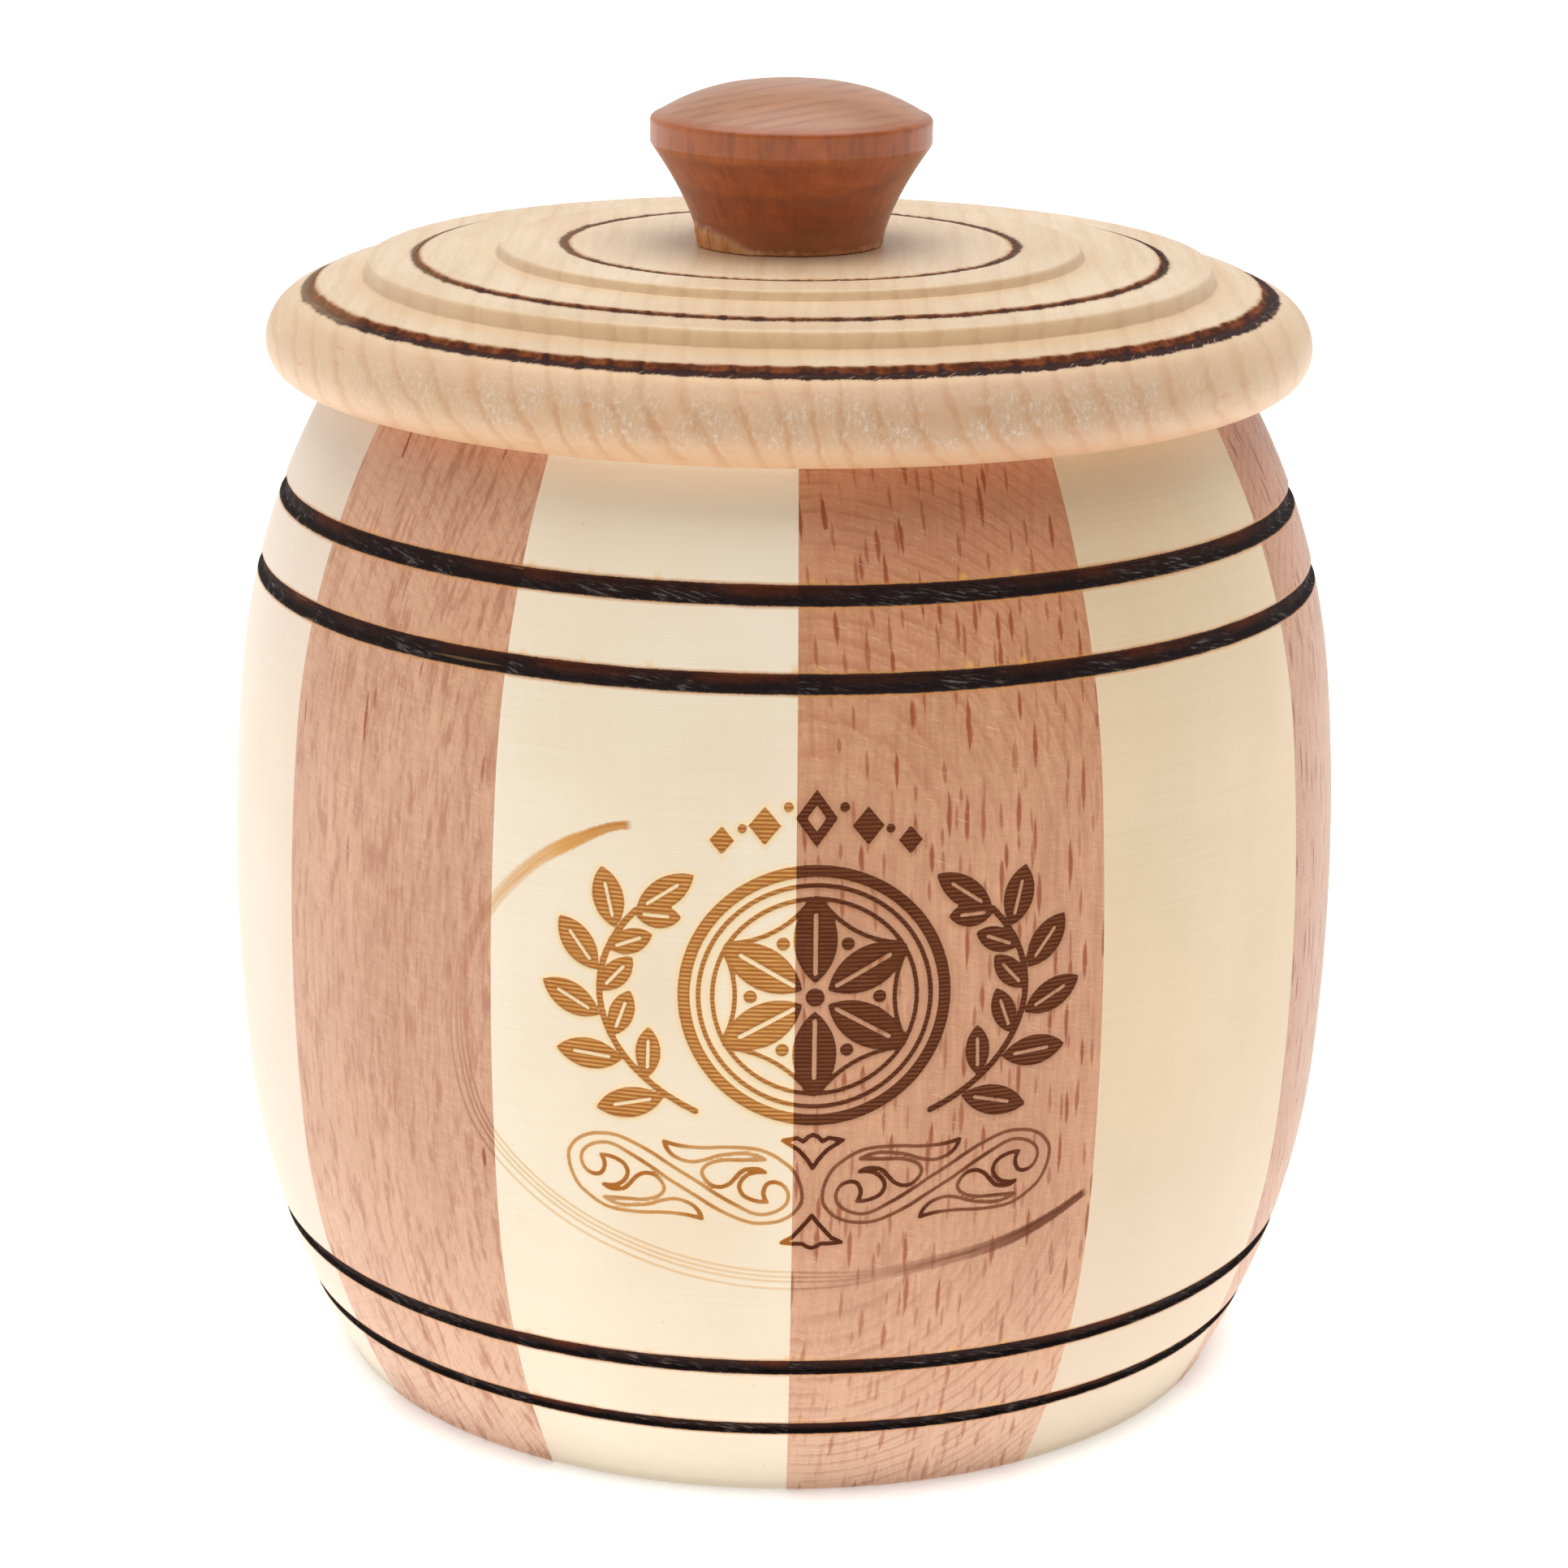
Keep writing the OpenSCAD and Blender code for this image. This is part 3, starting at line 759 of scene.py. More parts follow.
def scorch(t, V, u, z, colour, brown, seed):
    """Lays the burnt grooves over a colour; u runs along them. Returns the colour and the char."""
    gd, gv = t.attr("gd"), t.attr("gv")
    n1 = t.noise(t.scaled(V, (2.2, 2.2, 2.2)), 3, 0.6)
    n2 = t.noise(t.scaled(V, (0.3, 0.3, 0.9), (7, 3, 1)), 3, 0.6)
    n3 = t.noise(t.scaled(V, (0.075, 0.075, 0.05), (3, 9, 5)), 2, 0.5)
    char = t.step(-0.07, 0.08, t.add(gd, t.mad(n1, 0.14, -0.07)))
    # a thin golden rim, and a few licks of flame above it
    warm = t.step(-0.30, -0.02, t.add(gd, t.mad(n2, 0.26, -0.13)))
    lick = t.flecks(u, 0.0, (6.0, 1000.0), (1.1, 4000.0), seed + 2.7, 0.5)
    lick = t.mul(t.mul(lick, t.step(-0.95, -0.05, gd)), t.step(0.0, 0.4, gv))
    colour = t.mix(t.mul(lick, 0.62), colour, (0.80, 0.44, 0.105))
    colour = t.mix(t.mul(warm, 0.66), colour, (0.60, 0.250, 0.052))
    patchy = t.step(0.40, 0.62, t.add(n3, t.mad(n2, 0.24, -0.12)))
    up = t.step(-0.50, 0.60, t.add(gv, t.mad(n2, 1.4, t.mad(n1, 0.5, -0.95))))
    up = t.mul(up, t.mad(patchy, 0.72, 0.28))
    dark = t.mix(n1, (0.010, 0.0068, 0.0072), (0.030, 0.018, 0.0165))
    burnt = t.mix(t.mul(up, brown), dark, (0.128, 0.029, 0.0105))
    # grey ash, combed along the groove, and a bare sliver here and there
    along = t.mad(u, 0.985, t.mul(z, -0.17))
    across = t.mad(u, 0.17, t.mul(z, 0.985))
    ash = t.noise(t.vec(t.mul(along, 0.62), t.mul(across, 5.0), seed), 3, 0.62)
    ash = t.mul(t.step(0.52, 0.70, ash), t.mul(t.step(0.85, -0.30, gv), t.step(0.60, 0.36, n3)))
    burnt = t.mix(t.mul(ash, 0.60), burnt, (0.240, 0.205, 0.190))
    bare = t.flecks(z, u, (1.4, 34.0), (0.36, 8.0), seed + 9.2, 0.22)
    burnt = t.mix(t.mul(bare, 0.45), burnt, (0.36, 0.215, 0.105))
    return t.mix(char, colour, burnt), char


def shine(t, char, clean=0.75):
    """Burnt wood is dull."""
    return t.mad(char, -0.92 * clean, clean)


def light_stave_material(name, turn, seed, tone, engraved):
    t = Tree(name)
    V, w, u, z = t.place(turn)
    P = t.scaled(V, (1, 1, 1), (seed * 13.1, seed * 7.7, seed * 31.3))
    streak = t.noise(t.scaled(P, (1.1, 1.1, 0.03)), 3, 0.55)
    mottle = t.noise(t.scaled(P, (0.055, 0.055, 0.03)), 3, 0.5)
    turnline = t.noise(t.scaled(P, (0.05, 0.05, 4.2)), 3, 0.6)
    fine = t.noise(t.scaled(P, (3.0, 3.0, 7.5)), 2, 0.55)
    f = t.mad(streak, 0.16, t.mad(mottle, 1.0, t.mad(turnline, 0.46, t.mul(fine, 0.22))))
    f = t.line(0.63, 1.22, f)
    a, b = tone
    colour = t.mix(f, a, b)
    # a few warm, peach-coloured clouds
    cloud = t.step(0.50, 0.78, t.noise(t.scaled(P, (0.05, 0.05, 0.045), (5, 5, 5)), 2, 0.5))
    colour = t.mix(t.mul(cloud, 0.34), colour, (0.80, 0.57, 0.36))
    # painted bounce light: paler at the foot; the front one also has painted light close under the lid
    colour = t.mix(t.step(14.0, 3.0, z, 0.0, 0.32), colour, (0.93, 0.85, 0.71))
    # painted bounce light over the lower half of the warm staves
    if tone is LIGHT_WARM:
        colour = t.mix(t.step(44.0, 20.0, z, 0.0, 0.50), colour, (0.735, 0.610, 0.485))
    # painted light close under the lid on the front stave
    if engraved:
        colour = t.mix(t.step(74.0, 94.0, z, 0.0, 0.46), colour, (0.97, 0.84, 0.655))
    # pin-prick specks and light fibres lifted by the sander
    speck = t.flecks(u, z, (8.0, 10.0), (0.26, 0.5), seed + 4, 0.3)
    colour = t.mix(t.mul(speck, 0.30), colour, (0.45, 0.30, 0.17))
    su, sz = t.mad(u, 0.93, t.mul(z, -0.36)), t.mad(u, 0.36, t.mul(z, 0.93))
    lift = t.flecks(sz, su, (4.5, 7.0), (0.12, 1.8), seed + 8, 0.35)
    colour = t.mix(t.mul(lift, 0.30), colour, (0.93, 0.87, 0.78))
    rough = t.mad(streak, 0.08, t.mad(turnline, 0.08, 0.37))
    height = t.mad(turnline, 0.005, t.mad(fine, 0.004, t.mul(lift, 0.015)))
    if engraved:
        colour, rough, height, cover = burn_ornament(t, V, z, colour, rough, height,
                                                     (0.36, 0.110, 0.015), (0.73, 0.385, 0.110), (0.88, 0.60, 0.23), (0.66, 0.325, 0.070), (0.68, 0.370, 0.090), (0.67, 0.300, 0.046), 0.80)
    colour, char = scorch(t, V, u, z, colour, 0.68, seed)
    raw = t.attr("raw")
    colour = t.mix(t.mul(raw, 0.35), colour, (0.70, 0.53, 0.34))
    rough = t.mad(char, 0.25, t.mad(raw, 0.22, rough))
    grit = t.noise(t.scaled(V, (7, 7, 9)), 3, 0.7)
    height = t.add(height, t.mul(t.mul(char, grit), 0.07))
    dull = t.m("MAXIMUM", char, cover) if engraved else char
    return t.done(colour, rough, height, specular=shine(t, dull))


def burn_ornament(t, V, z, colour, rough, height, dark, pale, glow, faint, sweeping, gold, deep):
    """Engraved strokes: burnt in scan lines, darker along their edges, with a warm glow round them."""
    n = t.noise(t.scaled(V, (3.2, 3.2, 3.2), (3, 8, 2)), 3, 0.6)
    slow = t.noise(t.scaled(V, (0.22, 0.22, 0.35), (1, 5, 7)), 2, 0.5)
    run = t.noise(t.scaled(V, (0.4, 0.4, 3.0), (9, 2, 6)), 2, 0.6)
    jit = t.mad(n, 0.10, -0.05)
    # filled shapes
    e = t.attr("eng")
    e2 = t.add(e, jit)
    inside = t.step(-0.05, 0.06, e2)
    wave = t.m("SINE", t.mad(z, 2 * PI / 0.39, t.mul(run, 1.8)))
    scan = t.step(-0.7, 0.8, t.add(wave, t.mad(slow, 2.4, -1.2)))
    scan = t.mul(scan, t.mad(run, 0.9, 0.30))
    edge = t.step(0.34, 0.02, e2)
    body = t.mix(scan, dark, pale)
    body = t.mix(t.mul(t.step(0.46, 0.72, slow), 0.38), body, dark)
    body = t.mix(t.mul(edge, 0.55), body, dark)
    halo = t.step(-0.62, -0.02, t.add(e, t.mad(n, 0.18, -0.09)))
    # the scroll
    bold = t.attr("bold")
    q = t.m("ABSOLUTE", t.attr("lin"))
    q2 = t.sub(q, t.add(jit, t.mul(bold, 0.06)))
    line = t.step(0.195, 0.10, q2)
    lhalo = t.mul(t.step(0.75, 0.12, q), t.mad(bold, 0.6, 0.3))
    lmix = t.mul(line, t.mad(bold, 0.20, t.mad(run, 0.25, 0.68)))
    # the oval stroke: a broad sweep at its ends, parted into four lines between them
    d, s = t.attr("arc"), t.attr("along")
    on = t.mul(t.step(0.0, 0.008, s), t.step(1.0, 0.992, s))
    apart = t.mul(t.step(0.10, 0.34, s), t.step(0.88, 0.70, s))
    sweep = None
    for off in (-1.15, -0.38, 0.12, 0.62):
        c = t.m("ABSOLUTE", t.sub(d, t.mul(apart, off)))
        one = t.step(0.20, 0.06, t.sub(c, jit))
        sweep = one if sweep is None else t.m("MAXIMUM", sweep, one)
    sweep = t.mul(sweep, t.step(0.06, 0.30, t.mul(s, t.sub(1.0, s)), 0.0, 1.0))
    wide = t.m("MINIMUM", t.step(0.0, 0.10, s, 0.42, 0.84), t.step(1.0, 0.90, s, 0.46, 0.72))
    part = t.m("DIVIDE", t.m("ABSOLUTE", t.add(d, t.mul(jit, 2.6))), wide)
    full = t.mul(t.step(1.12, 0.66, part), t.sub(1.0, t.step(0.15, 0.95, apart)))
    brush = t.noise(t.vec(t.mul(d, 2.6), t.mul(s, 9.0), 0.0), 2, 0.6)
    core = t.mul(t.step(0.85, 0.1, part), t.step(0.36, 0.60, brush))
    ends = t.sub(1.0, t.mul(t.step(0.0, 0.16, s), t.step(1.0, 0.84, s)))
    fade = t.mul(on, t.mad(ends, 0.42, t.mad(slow, 0.30, 0.54)))
    smix = t.mul(t.m("MAXIMUM", t.mul(sweep, 0.86), t.mul(full, t.mad(core, 0.38, 0.62))), fade)
    # it was pressed on harder at both ends
    press = t.mul(t.m("MAXIMUM", t.step(0.15, 0.06, s), t.step(0.78, 0.94, s)), on)
    smix = t.m("MAXIMUM", smix, t.mul(press, t.mul(full, t.mad(core, 0.08, 0.88))))
    glowmix = t.m("MAXIMUM", t.mul(halo, 0.50), t.mul(lhalo, 0.40))
    colour = t.mix(glowmix, colour, glow)
    early = t.step(0.45, 0.25, s)
    tip = t.m("MAXIMUM", t.step(0.075, 0.010, s, 0.0, 0.95), t.step(0.82, 0.98, s))
    stroke = t.mix(t.mul(tip, t.mad(core, 0.5 * deep, 0.5 * deep)), t.mix(early, sweeping, gold), dark)
    colour = t.mix(smix, colour, stroke)
    colour = t.mix(lmix, colour, t.mix(t.mad(bold, 0.80, 0.14), faint, dark))
    colour = t.mix(t.mul(inside, 0.96), colour, body)
    cover = t.m("MAXIMUM", inside, t.m("MAXIMUM", lmix, smix))
    rough = t.mad(cover, 0.16, rough)
    height = t.add(height, t.mul(t.mul(inside, wave), 0.010))
    height = t.sub(height, t.mul(t.m("MAXIMUM", lmix, smix), 0.02))
    return colour, rough, height, cover


def beech_stave_material(name, turn, seed, tone, lines, flecky, streaky, slant, engraved):
    t = Tree(name)
    V, w, u, z = t.place(turn)
    P = t.scaled(V, (1, 1, 1), (seed * 11.3, seed * 5.9, seed * 23.7))
    lane = t.mad(w, 0.20, u)
    streak = t.noise(t.vec(t.mul(lane, 1.25), t.mul(z, 0.10), seed * 7.3), 4, 0.6)
    fibre = t.noise(t.scaled(P, (4.6, 4.6, 0.5)), 3, 0.6)
    mottle = t.noise(t.scaled(P, (0.08, 0.08, 0.04)), 3, 0.5)
    along = t.mad(u, 0.94, t.mul(z, -0.34))
    across = t.mad(u, 0.34, t.mul(z, 0.94))
    sand = t.noise(t.vec(t.mul(along, 0.5), t.mul(across, 5.5), seed), 3, 0.65)
    # growth rings: flat boards, so the curve of the barrel cuts them into arcs
    wob = t.noise(t.scaled(P, (0.10, 0.10, 0.05)), 2, 0.45)
    barb = t.noise(t.scaled(P, (2.4, 2.4, 0.45), (1, 7, 3)), 2, 0.6)
    ringc = t.add(t.mad(w, 1.55, t.mul(u, 1.55 * slant)), t.mad(wob, 1.1, t.mul(barb, 0.34)))
    ring = t.m("FRACT", ringc)
    ring = t.mul(t.step(0.42, 0.90, ring), t.step(1.0, 0.90, ring))
    half = t.m("FRACT", t.mad(ringc, 2.0, 0.37))
    half = t.mul(t.step(0.55, 0.90, half), t.step(1.0, 0.92, half))
    steep = t.step(9.0, 34.0, t.m("ABSOLUTE", t.sub(z, 48.9)), 0.22, 1.0)
    brk = t.step(0.28, 0.58, t.noise(t.scaled(P, (0.30, 0.30, 0.30), (2, 2, 2)), 2, 0.5))
    ring = t.mul(t.m("MAXIMUM", ring, t.mul(half, 0.45)), t.mul(brk, steep))
    bent = t.mad(barb, 0.34, u)
    ray1 = t.flecks(bent, z, (1.65, 6.6), (0.64, 5.0), seed, flecky)
    ray2 = t.flecks(t.add(bent, 0.37), z, (1.35, 4.8), (0.50, 3.2), seed + 2.3, flecky)
    ray3 = t.flecks(u, z, (0.70, 2.8), (0.32, 1.9), seed + 5.1, 0.8)
    long = t.noise(t.vec(t.mad(wob, 1.2, t.mul(lane, 1.35)), t.mul(z, 0.235), seed * 5.1 + 4.0), 3, 0.62)
    long = t.step(0.47, 0.68, long)
    a, b = tone
    level = t.noise(t.vec(t.mul(u, 0.28), t.mul(z, 4.4), seed + 3.0), 3, 0.62)
    f = t.mad(streak, 0.60, t.mad(mottle, 0.60, t.mad(fibre, 0.44, t.mad(sand, 0.46, t.mad(level, 0.30, -0.15)))))
    f = t.line(0.78, 1.28, f)
    colour = t.mix(f, a, b)
    # painted light in the lid's shade: a redder tone close under the lid, lighter there on the streaky staves; paler
    # towards the foot as painted bounce light
    low = t.step(38.0, 5.0, z)
    colour = t.mix(t.mul(low, 0.52), colour, (0.80, 0.515, 0.355))
    colour = t.mix(t.step(13.0, 3.0, z, 0.0, 0.36), colour, (0.86, 0.62, 0.47))
    colour = t.mix(t.mul(t.step(78.0, 95.0, z), t.mad(level, 0.55, 0.08)), colour, (0.76, 0.405, 0.245) if streaky > 0.5 else (0.60, 0.235, 0.115))
    colour = t.mix(t.mul(ring, lines), colour, (0.385, 0.112, 0.044))
    colour = t.mix(t.mul(long, streaky), colour, (0.430, 0.157, 0.076))
    rays = t.m("MAXIMUM", ray1, t.mul(ray2, 0.7))
    colour = t.mix(t.mul(ray3, 0.16), colour, (0.36, 0.135, 0.070))
    colour = t.mix(t.mul(rays, t.mad(low, -0.42, 0.86)), colour, (0.310, 0.067, 0.028))
    # light fibres lifted by the sander
    patch = t.step(0.40, 0.62, t.noise(t.scaled(P, (0.10, 0.10, 0.10), (9, 2, 6)), 2, 0.5))
    lift = t.m("MAXIMUM", t.flecks(across, along, (4.2, 6.5), (0.17, 1.8), seed + 8, 0.40),
               t.mul(t.flecks(across, along, (0.7, 2.4), (0.17, 1.3), seed + 3, 0.6), t.mad(patch, 0.55, 0.15)))
    colour = t.mix(t.mul(lift, 0.40), colour, (0.83, 0.61, 0.42))
    rough = t.mad(fibre, 0.12, t.mad(rays, -0.05, 0.37))
    height = t.mad(sand, 0.014, t.mad(fibre, 0.012, t.mad(rays, -0.020, t.mul(lift, 0.02))))
    if engraved:
        colour, rough, height, cover = burn_ornament(t, V, z, colour, rough, height,
                                                     (0.075, 0.016, 0.005), (0.200, 0.064, 0.026), (0.42, 0.18, 0.080), (0.250, 0.073, 0.028), (0.19, 0.055, 0.024), (0.43, 0.175, 0.090), 0.95)
    colour, char = scorch(t, V, u, z, colour, 0.32, seed)
    raw = t.attr("raw")
    colour = t.mix(t.mul(raw, 0.3), colour, (0.42, 0.24, 0.14))
    rough = t.mad(char, 0.25, t.mad(raw, 0.2, rough))
    grit = t.noise(t.scaled(V, (7, 7, 9)), 3, 0.7)
    height = t.add(height, t.mul(t.mul(char, grit), 0.07))
    dull = t.m("MAXIMUM", char, t.mul(rays, 0.75))
    dull = t.m("MAXIMUM", dull, cover) if engraved else dull
    return t.done(colour, rough, height, specular=shine(t, dull, 0.62))


def lid_material(name):
    t = Tree(name)
    V, x, y, z = t.place()
    arc = t.mul(t.m("ARCTAN2", x, t.mul(y, -1.0)), 50.0)
    r = t.m("SQRT", t.mad(x, x, t.mul(y, y)))
    streak = t.noise(t.scaled(V, (1.3, 0.04, 1.3)), 3, 0.6)
    fibre = t.noise(t.scaled(V, (5.0, 0.5, 5.0)), 3, 0.6)
    mottle = t.noise(t.scaled(V, (0.09, 0.05, 0.12)), 3, 0.5)
    # marks of the turning tool
    tool = t.noise(t.vec(t.mul(r, 3.4), t.mul(z, 3.4), t.mul(mottle, 3.0)), 3, 0.6)
    # rings of the tree run front to back, and bend over towards the foot of the rim
    wob = t.noise(t.scaled(V, (0.055, 0.02, 0.05)), 2, 0.5)
    jag = t.noise(t.scaled(V, (0.6, 0.10, 0.6)), 3, 0.6)
    drop = t.sub(109.5, z)
    ringc = t.sub(t.mul(x, 0.31), t.mul(t.mul(drop, drop), 0.31 * 0.030))
    ringc = t.add(ringc, t.mad(wob, 2.4, t.mul(jag, 0.60)))
    ring = t.m("FRACT", ringc)
    ring = t.mul(t.step(0.52, 0.82, ring), t.step(1.0, 0.84, ring))
    mid = t.m("FRACT", t.mad(ringc, 2.0, 0.55))
    mid = t.mul(t.step(0.50, 0.86, mid), t.step(1.0, 0.86, mid))
    end = t.attr("end")
    gone = t.step(0.30, 0.64, t.noise(t.scaled(V, (0.42, 0.42, 0.36), (4, 1, 9)), 3, 0.6))
    foot = t.step(LID_Z + 8.4, LID_Z + 4.2, z)
    a, b = (0.655, 0.465, 0.290), (0.82, 0.660, 0.470)
    f = t.mad(streak, 0.45, t.mad(mottle, 0.75, t.mad(fibre, 0.35, t.mad(tool, 0.36, -0.18))))
    f = t.line(0.52, 1.10, f)
    colour = t.mix(f, a, b)
    brow = t.step(CROWN_Z - 4.0, CROWN_Z - 5.2, z)
    colour = t.mix(t.mul(brow, 0.46), colour, (0.69, 0.450, 0.245))
    # painted shade: darker towards the front of the lid
    colour = t.mix(t.mul(t.step(-24.0, -44.0, y), 0.26), colour, (0.54, 0.345, 0.180))
    # painted shadow of the knob on the crown in front of it
    colour = t.mix(t.mul(t.mul(t.step(-5.0, -13.0, y), t.step(21.0, 12.0, r)), 0.24), colour, (0.54, 0.345, 0.165))
    # painted shade in a strip under each step of the crown
    step_shade = t.m("MAXIMUM", t.mul(t.step(27.9, 28.4, r), t.step(31.0, 29.2, r)), t.mul(t.step(40.7, 41.2, r), t.step(44.2, 42.4, r)))
    step_shade = t.mul(step_shade, t.step(CROWN_Z - 4.3, CROWN_Z - 4.0, z))
    colour = t.mix(t.mul(step_shade, 0.34), colour, (0.64, 0.415, 0.205))
    # end grain colour, lightened on the step walls as painted light, and on the rim darker to the right as painted
    # shade
    colour = t.mix(t.mul(end, 0.78), colour, t.mix(brow, (0.85, 0.585, 0.315), t.mix(t.step(-10.0, 30.0, x), (0.640, 0.380, 0.204), (0.535, 0.306, 0.178))))
    rings = t.m("MAXIMUM", ring, t.mul(mid, 0.25))
    rings = t.mul(rings, t.mad(end, t.mad(gone, 0.24, t.mad(foot, 0.26, -0.04)), 0.20))
    rings = t.mul(rings, t.mad(brow, 0.32, 0.68))
    colour = t.mix(rings, colour, (0.49, 0.222, 0.080))
    # the lowest edge is a warm peach
    colour = t.mix(t.mul(t.mul(t.step(LID_Z + 2.6, LID_Z + 0.9, z), brow), 0.46), colour, (0.585, 0.330, 0.170))
    # pale fibres torn up on the end grain, in bands between the rings
    fz = t.noise(t.scaled(V, (2.6, 2.6, 1.5), (3, 3, 3)), 5, 0.72, 0.25)
    patch = t.noise(t.scaled(V, (0.22, 0.22, 0.30), (8, 1, 2)), 2, 0.5)
    band = t.mul(t.step(LID_Z + 1.2, LID_Z + 3.6, z), t.step(LID_Z + 8.0, LID_Z + 5.2, z))
    fuzz = t.mul(t.mul(t.step(0.44, 0.66, fz), t.step(0.32, 0.60, patch)), t.mul(end, band))
    fuzz = t.mul(fuzz, t.mad(ring, -0.55, 1.0))
    colour = t.mix(t.mul(fuzz, 0.72), colour, (0.87, 0.71, 0.56))
    # short reddish flecks lie along the rim
    red = t.mul(t.flecks(z, arc, (1.35, 4.2), (0.50, 2.6), 7.7, 0.6), t.step(0.62, 0.40, patch))
    colour = t.mix(t.mul(t.mul(red, brow), t.step(10.0, -30.0, x, 0.32, 0.46)), colour, (0.60, 0.250, 0.100))
    pit = t.flecks(t.add(x, t.mul(y, 0.4)), z, (4.4, 3.2), (0.50, 0.50), 3.3, 0.30)
    colour = t.mix(t.mul(t.mul(pit, t.mul(end, band)), 0.45), colour, (0.33, 0.21, 0.13))
    ray = t.flecks(x, y, (1.1, 4.0), (0.26, 2.0), 6.1, 0.6)
    ray = t.mul(ray, t.sub(1.0, end))
    colour = t.mix(t.mul(ray, 0.16), colour, (0.50, 0.31, 0.16))
    rough = t.mad(fibre, 0.10, t.mad(end, 0.14, 0.40))
    height = t.mad(fibre, 0.014, t.mad(fuzz, 0.05, t.mul(ring, -0.012)))
    height = t.add(height, t.mad(tool, 0.008, t.mul(t.mul(t.noise(t.scaled(V, (3.5, 3.5, 3.5)), 4, 0.7), end), 0.05)))
    # the burnt rings: brown on their inner side, dark outside, frayed where the end grain drank the heat
    gd, gv, gs = t.attr("gd"), t.attr("gv"), t.attr("gs")
    n1 = t.noise(t.scaled(V, (2.0, 2.0, 2.0), (2, 6, 4)), 3, 0.6)
    n2 = t.noise(t.scaled(V, (0.55, 0.55, 0.55), (7, 3, 1)), 3, 0.6)
    fray = t.noise(t.vec(t.mul(arc, 1.5), t.mul(r, 0.5), 1.0), 3, 0.65)
    frizz = t.noise(t.vec(t.mad(arc, 3.2, t.mul(r, 2.4)), t.mul(r, 0.7), 4.0), 3, 0.65)
    reach = t.add(t.mad(n1, 0.16, -0.08), t.mad(ring, 0.12, t.mad(fray, 0.14, -0.11)))
    reach = t.add(reach, t.mul(t.mad(frizz, 0.56, -0.28), t.step(0.2, -0.5, gv)))
    char = t.step(-0.16, 0.13, t.add(gd, reach))
    warm = t.step(-0.50, 0.05, t.add(gd, t.mad(n2, 0.6, -0.34)))
    warm = t.mul(warm, t.step(-0.6, 0.4, gv, 0.35, 0.80))
    colour = t.mix(warm, colour, (0.47, 0.205, 0.066))
    up = t.step(-0.05, 0.75, t.add(gv, t.mad(n2, 1.3, t.mad(ring, -0.4, t.mad(fray, 0.5, -0.92)))))
    dark = t.mix(n1, (0.022, 0.0095, 0.0105), (0.046, 0.019, 0.019))
    comb = t.noise(t.vec(t.mul(arc, 0.5), t.mul(t.add(r, z), 4.0), 5.0), 3, 0.65)
    lit = t.noise(t.vec(t.mul(arc, 0.75), t.mul(t.add(r, z), 3.0), 2.0), 3, 0.6)
    brown = t.mix(t.step(0.38, 0.68, lit), (0.115, 0.024, 0.0085), (0.300, 0.080, 0.023))
    burnt = t.mix(up, dark, brown)
    spot = t.step(0.47, 0.74, t.noise(t.vec(t.mul(arc, 0.55), t.mul(t.add(r, z), 0.9), 9.0), 3, 0.6))
    burnt = t.mix(t.mul(spot, 0.66), burnt, (0.040, 0.0135, 0.0095))
    burnt = t.mix(t.mul(t.mul(t.step(0.54, 0.72, comb), t.step(0.4, -0.6, gv)), t.step(32.0, 43.0, t.m("ABSOLUTE", x), 0.10, 0.50)), burnt, (0.30, 0.22, 0.18))
    colour = t.mix(t.mul(char, t.mul(gs, 0.98)), colour, burnt)
    # pale hairs lie aslant over the outer edge of the burn
    hair = t.flecks(t.mad(r, 0.80, t.mul(arc, 0.45)), t.mad(r, -0.45, t.mul(arc, 0.80)), (0.62, 2.6), (0.10, 1.6), 5.3, 0.75)
    hair = t.mul(hair, t.mul(t.step(-0.7, -0.2, gd), t.step(0.3, -0.3, gv)))
    colour = t.mix(t.mul(hair, 0.62), colour, (0.66, 0.48, 0.35))
    raw = t.attr("raw")
    rough = t.mad(char, 0.2, t.mad(raw, 0.1, rough))
    grit = t.noise(t.scaled(V, (7, 7, 9)), 3, 0.7)
    height = t.add(height, t.mul(t.mul(char, grit), 0.08))
    return t.done(colour, rough, height, specular=shine(t, char))


